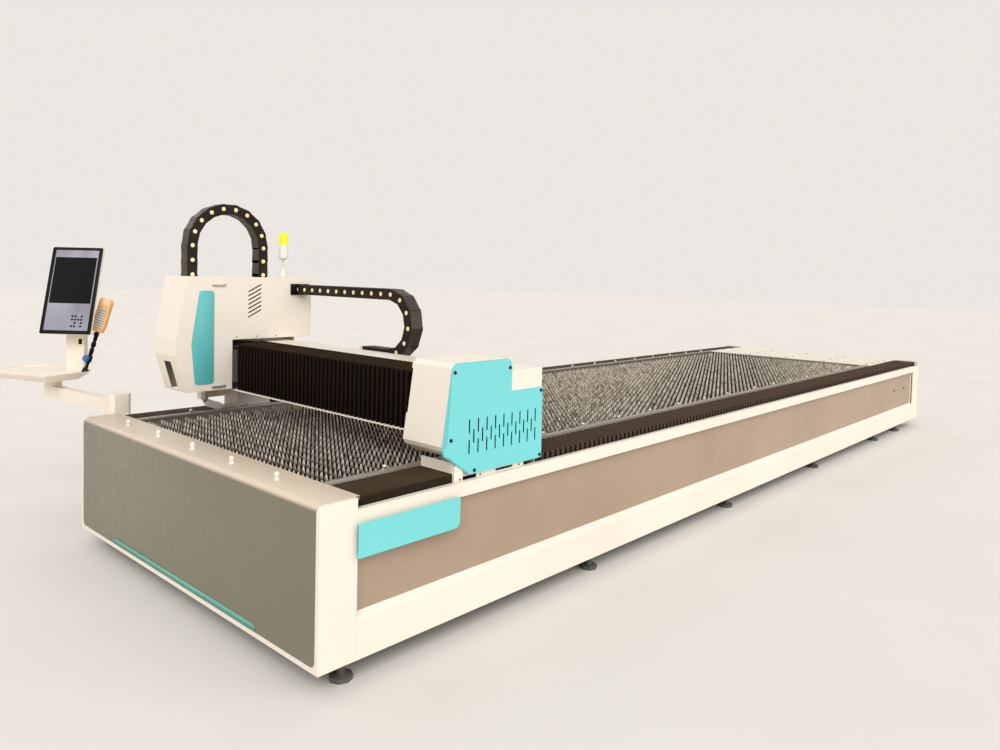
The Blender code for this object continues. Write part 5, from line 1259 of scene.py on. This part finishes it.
def screen_pose():
    """From a place on the screen's front (depth, across, up) to the scene."""
    column, pivot, rise = at(0.22198, 3.35001, 1.300), Vector((0.085, 0, 0)), Vector((0, 0, 0.070))
    to_pivot = Matrix.Translation(column) @ turn_of(40, "Z") @ Matrix.Translation(pivot)
    return to_pivot @ turn_of(15, "Y") @ Matrix.Translation(rise - pivot)


def holder_pose():
    return Matrix.Translation(at(*HOLDER)) @ turn_of(-25, "Z") @ turn_of(15, "Y")


def fit(shape, pose, look, name, body, slot, *nodes):
    """A shape made at the bed's corner is moved to its pose and dressed."""
    return dressed(placed(named(shape, name), pose), look, body, slot, *nodes)


class CUTTER_OT_console(bpy.types.Operator):
    """Screen with its bezel and fields, hand pendant with keys, its holder, and a switch"""

    bl_idname = "cutter.console"
    bl_label = "Operator's console"

    def execute(self, context):
        self.screen()
        self.pendant()
        self.holder()
        self.button()
        return {"FINISHED"}

    def screen(self):
        """Case, bezel, lit field, dark view and the keys drawn on the screen."""
        half, tall, deep, side, foot, crown = 0.180, 0.310, 0.045, 0.027, 0.027, 0.022
        low, high = foot - tall, tall - crown
        pose = screen_pose()
        shell = plate((-half, -tall), (half, tall), 0.012, "x", (0.0035, 0.019), "shell", 0.003, 3)
        wide, long = half * 0.80, tall * 0.86
        back = plate((-wide, -long), (wide, long), 0.020, "x", (0.017, deep), "back", 0.010, 3)
        arm = plate((0.040, -0.084), (0.105, -0.056), 0.006, "y", (-0.0275, 0.0275), "arm", 0.002)
        case = joined([shell, back, arm], "monitor_case")
        fit(case, pose, "casing", "monitor_case", "monitor", "white_paint", "monitor")
        wide, long = half - 0.0015, tall - 0.0015
        bezel = plate((-wide, -long), (wide, long), 0.011, "x", (0.0, 0.0040), "bezel")
        cut(bezel, plate((side - half, low), (half - side, high), 0, "x", (-0.01, 0.0014), "window"))
        soften(bezel, 0.0008, 2)
        fit(bezel, pose, "black", "monitor_bezel", "monitor", "frame_paint", "monitor")
        field = plate((side - half, low), (half - side, high), 0, "x", (0.0007, 0.0018), "field")
        fit(field, pose, "screen_field", "screen_field", "monitor", "screen_glass", "monitor_glass")
        shown = (0.0002, 0.0012)
        left, right, bottom, top = side - half + 0.008, half - side - 0.006, low + 0.190, high - 0.052
        view = plate((left, bottom), (right, top), 0, "x", shown, "view")
        fit(view, pose, "glass", "screen_view", "monitor", "screen_glass", "monitor_glass")
        keys = []
        for row, columns in enumerate(((0, 1, 3), (0, 1, 2, 3), (1, 3), (0, 1, 3))):
            for column in columns:
                y, z = -0.036 - 0.0215 * column, low + 0.100 - 0.0235 * row
                ends = (y - 0.007, z - 0.0065), (y + 0.007, z + 0.0065)
                keys.append(plate(*ends, 0.002, "x", shown, "key", turns=2))
        keys = joined(keys, "screen_keys")
        fit(keys, pose, "glass", "screen_keys", "monitor", "screen_glass", "monitor_glass")

    def pendant(self):
        """Hand pendant that stands in its holder: body, pale crown, key field and keys."""
        half, tall, deep, shoulder, waist, low = 0.055, 0.240, 0.016, 0.215, 0.045, 0.2903
        body, slot, node = "console_tray", "orange_plastic", "pendant"
        pose = holder_pose() @ Matrix.Translation((0, 0, low)) @ turn_of(48, "Z")
        foot, brow = half * 0.80, half * 0.82
        line = [(-foot, 0.0), (foot, 0.0), (half, waist), (half, shoulder),
                (brow, tall), (-brow, tall), (-half, shoulder), (-half, waist)]
        case = drawn(rounded(line, 0.014, 4), "x", -deep, deep - 0.001, "case", 0.006, 4)
        fit(case, pose, "orange", "pendant_body", body, slot, node)
        depths = (-deep - 0.0008, 0.003 - deep)
        crown = plate((-foot, tall * 0.80), (foot, tall * 0.985), 0.010, "x", depths, "crown", 0.001)
        fit(crown, pose, "pale_orange", "pendant_crown", body, slot, node)
        depths, wide = (-deep - 0.0006, 0.003 - deep), half * 0.72
        field = plate((-wide, 0.028), (wide, 0.168), 0.006, "x", depths, "field", 0.0006)
        fit(field, pose, "grey", "pendant_field", body, slot, node)
        keys, depths = [], (-deep - 0.0026, -deep)
        for row in range(8):
            for column in range(5):
                y, z = (column - 2) * 0.0152, 0.0375 + 0.0174 * row
                ends = (y - 0.0058, z - 0.0062), (y + 0.0058, z + 0.0062)
                keys.append(plate(*ends, 0.002, "x", depths, "key", 0.0006, 1, turns=2))
        fit(joined(keys, "pendant_keys"), pose, "white_plastic", "pendant_keys", body, slot, node)

    def button(self):
        """The small dark switch near the top of the screen's column."""
        pose = Matrix.Translation(at(0.2871, 3.40465, 0)) @ turn_of(40, "Z")
        mount = block((-0.0236, -0.0480, 1.012), (-0.0208, -0.0240, 1.048), "mount", 0.001)
        rocker = block((-0.0262, -0.0425, 1.019), (-0.0230, -0.0295, 1.041), "rocker", 0.001)
        switch = joined([mount, rocker], "column_switch")
        fit(switch, pose, "black", "column_switch", "console_tray", "chain_plastic")

    def holder(self):
        """The pendant's jointed holder on its foot, with a blue and a white knob."""
        pose, here = holder_pose(), (0, 0, 0)
        foot = [(0.0238, 0.0), (0.0238, 0.004), (0.021, 0.012), (0.0145, 0.026), (0.0125, 0.034)]
        rod = [(0.010, 0.008), (0.010, 0.060), (0.013, 0.066), (0.013, 0.074)]
        joint = [(0.014, 0.072), (0.019, 0.078), (0.019, 0.112), (0.014, 0.120)]
        arm = [(0.0105, 0.118), (0.0130, 0.130), (0.0130, 0.165), (0.0095, 0.176),
               (0.0150, 0.186), (0.0165, 0.198), (0.0150, 0.210), (0.0100, 0.220),
               (0.0130, 0.232), (0.0130, 0.256), (0.0100, 0.264)]
        rib = [(0.0142, 0.0), (0.0152, 0.0015), (0.0152, 0.0045), (0.0142, 0.006)]
        base = turned(foot, HOLDER, "foot", 28)
        upright = [turned(line, here, "part", sides) for line, sides in ((rod, 18), (joint, 20), (arm, 20))]
        clamp = plate((-0.019, 0.256), (0.019, 0.2898), 0.006, "x", (-0.014, 0.014), "clamp", 0.003)
        ribs = [turned(rib, (0, 0, 0.131 + 0.010 * k), "rib", 16) for k in range(4)]
        parts = [placed(part, pose) for part in (*upright, clamp, *ribs)]
        stand = joined([base, *parts], "pendant_arm")
        dressed(stand, "black", "console_tray", "chain_plastic", "pendant_holder")
        blue = [(0.0070, 0.0), (0.0235, 0.004), (0.0250, 0.010),
                (0.0250, 0.018), (0.0215, 0.024), (0.010, 0.026)]
        white = [(0.0040, 0.0), (0.0105, 0.002), (0.0105, 0.009), (0.0080, 0.0105)]
        for name, line, sides, towards, shift, look in (
                ("blue_knob", blue, 24, (-1, -0.9, 0), (-0.010, -0.008, 0.096), "blue"),
                ("white_knob", white, 20, (-1, -0.2, 0), (-0.013, 0.004, 0.273), "white_plastic")):
            knob = turned(line, here, name, sides, towards)
            fit(knob, pose @ Matrix.Translation(shift), look, name, "console_tray", "chain_plastic")


class CUTTER_OT_small_screws(bpy.types.Operator):
    """Bolt heads on the near side panel and screws on the far end's deck"""

    bl_idname = "cutter.small_screws"
    bl_label = "Screws and bolts"

    def execute(self, context):
        panel_face, deck_face = 0.0297, 0.6642
        places = [(x, panel_face, 0.390) for x in (7.450, 7.815)]
        screws(places, (0, -1, 0), 0.010, "side_panel_bolts", "bed")
        rows = (0.31, 0.78, 1.23, 1.68, 2.15)
        places = [(7.36 + 0.22 * i, y, deck_face) for i in range(4) for y in rows]
        screws(places, (0, 0, 1), 0.008, "deck_screws", "bed")
        return {"FINISHED"}


OPERATORS = (
    CUTTER_OT_stage,
    CUTTER_OT_sheet_metal,
    CUTTER_OT_slats,
    CUTTER_OT_rail_bellows,
    CUTTER_OT_beam_bellows,
    CUTTER_OT_transfers,
    CUTTER_OT_near_end,
    CUTTER_OT_side_panel,
    CUTTER_OT_chains,
    CUTTER_OT_head,
    CUTTER_OT_beam,
    CUTTER_OT_console,
    CUTTER_OT_small_screws,
)


class CUTTER_PT_machine(bpy.types.Panel):
    """Shows the machine's settings and a button for each of its steps"""

    bl_idname = "CUTTER_PT_machine"
    bl_label = "Cutting machine"
    bl_space_type = "VIEW_3D"
    bl_region_type = "UI"
    bl_category = "Cutting machine"

    def draw(self, context):
        for name in MachineSettings.__annotations__:
            self.layout.prop(context.scene.cutting_machine, name)
        for operator in OPERATORS:
            self.layout.operator(operator.bl_idname)


def register():
    for cls in (MachineSettings, *OPERATORS, CUTTER_PT_machine):
        bpy.utils.register_class(cls)
    bpy.types.Scene.cutting_machine = bpy.props.PointerProperty(type=MachineSettings)


def unregister():
    del bpy.types.Scene.cutting_machine
    for cls in (CUTTER_PT_machine, *reversed(OPERATORS), MachineSettings):
        bpy.utils.unregister_class(cls)


def main():
    register()
    for operator in OPERATORS:
        group, name = operator.bl_idname.split(".")
        getattr(getattr(bpy.ops, group), name)()
    deselect()


if __name__ == "__main__":
    main()
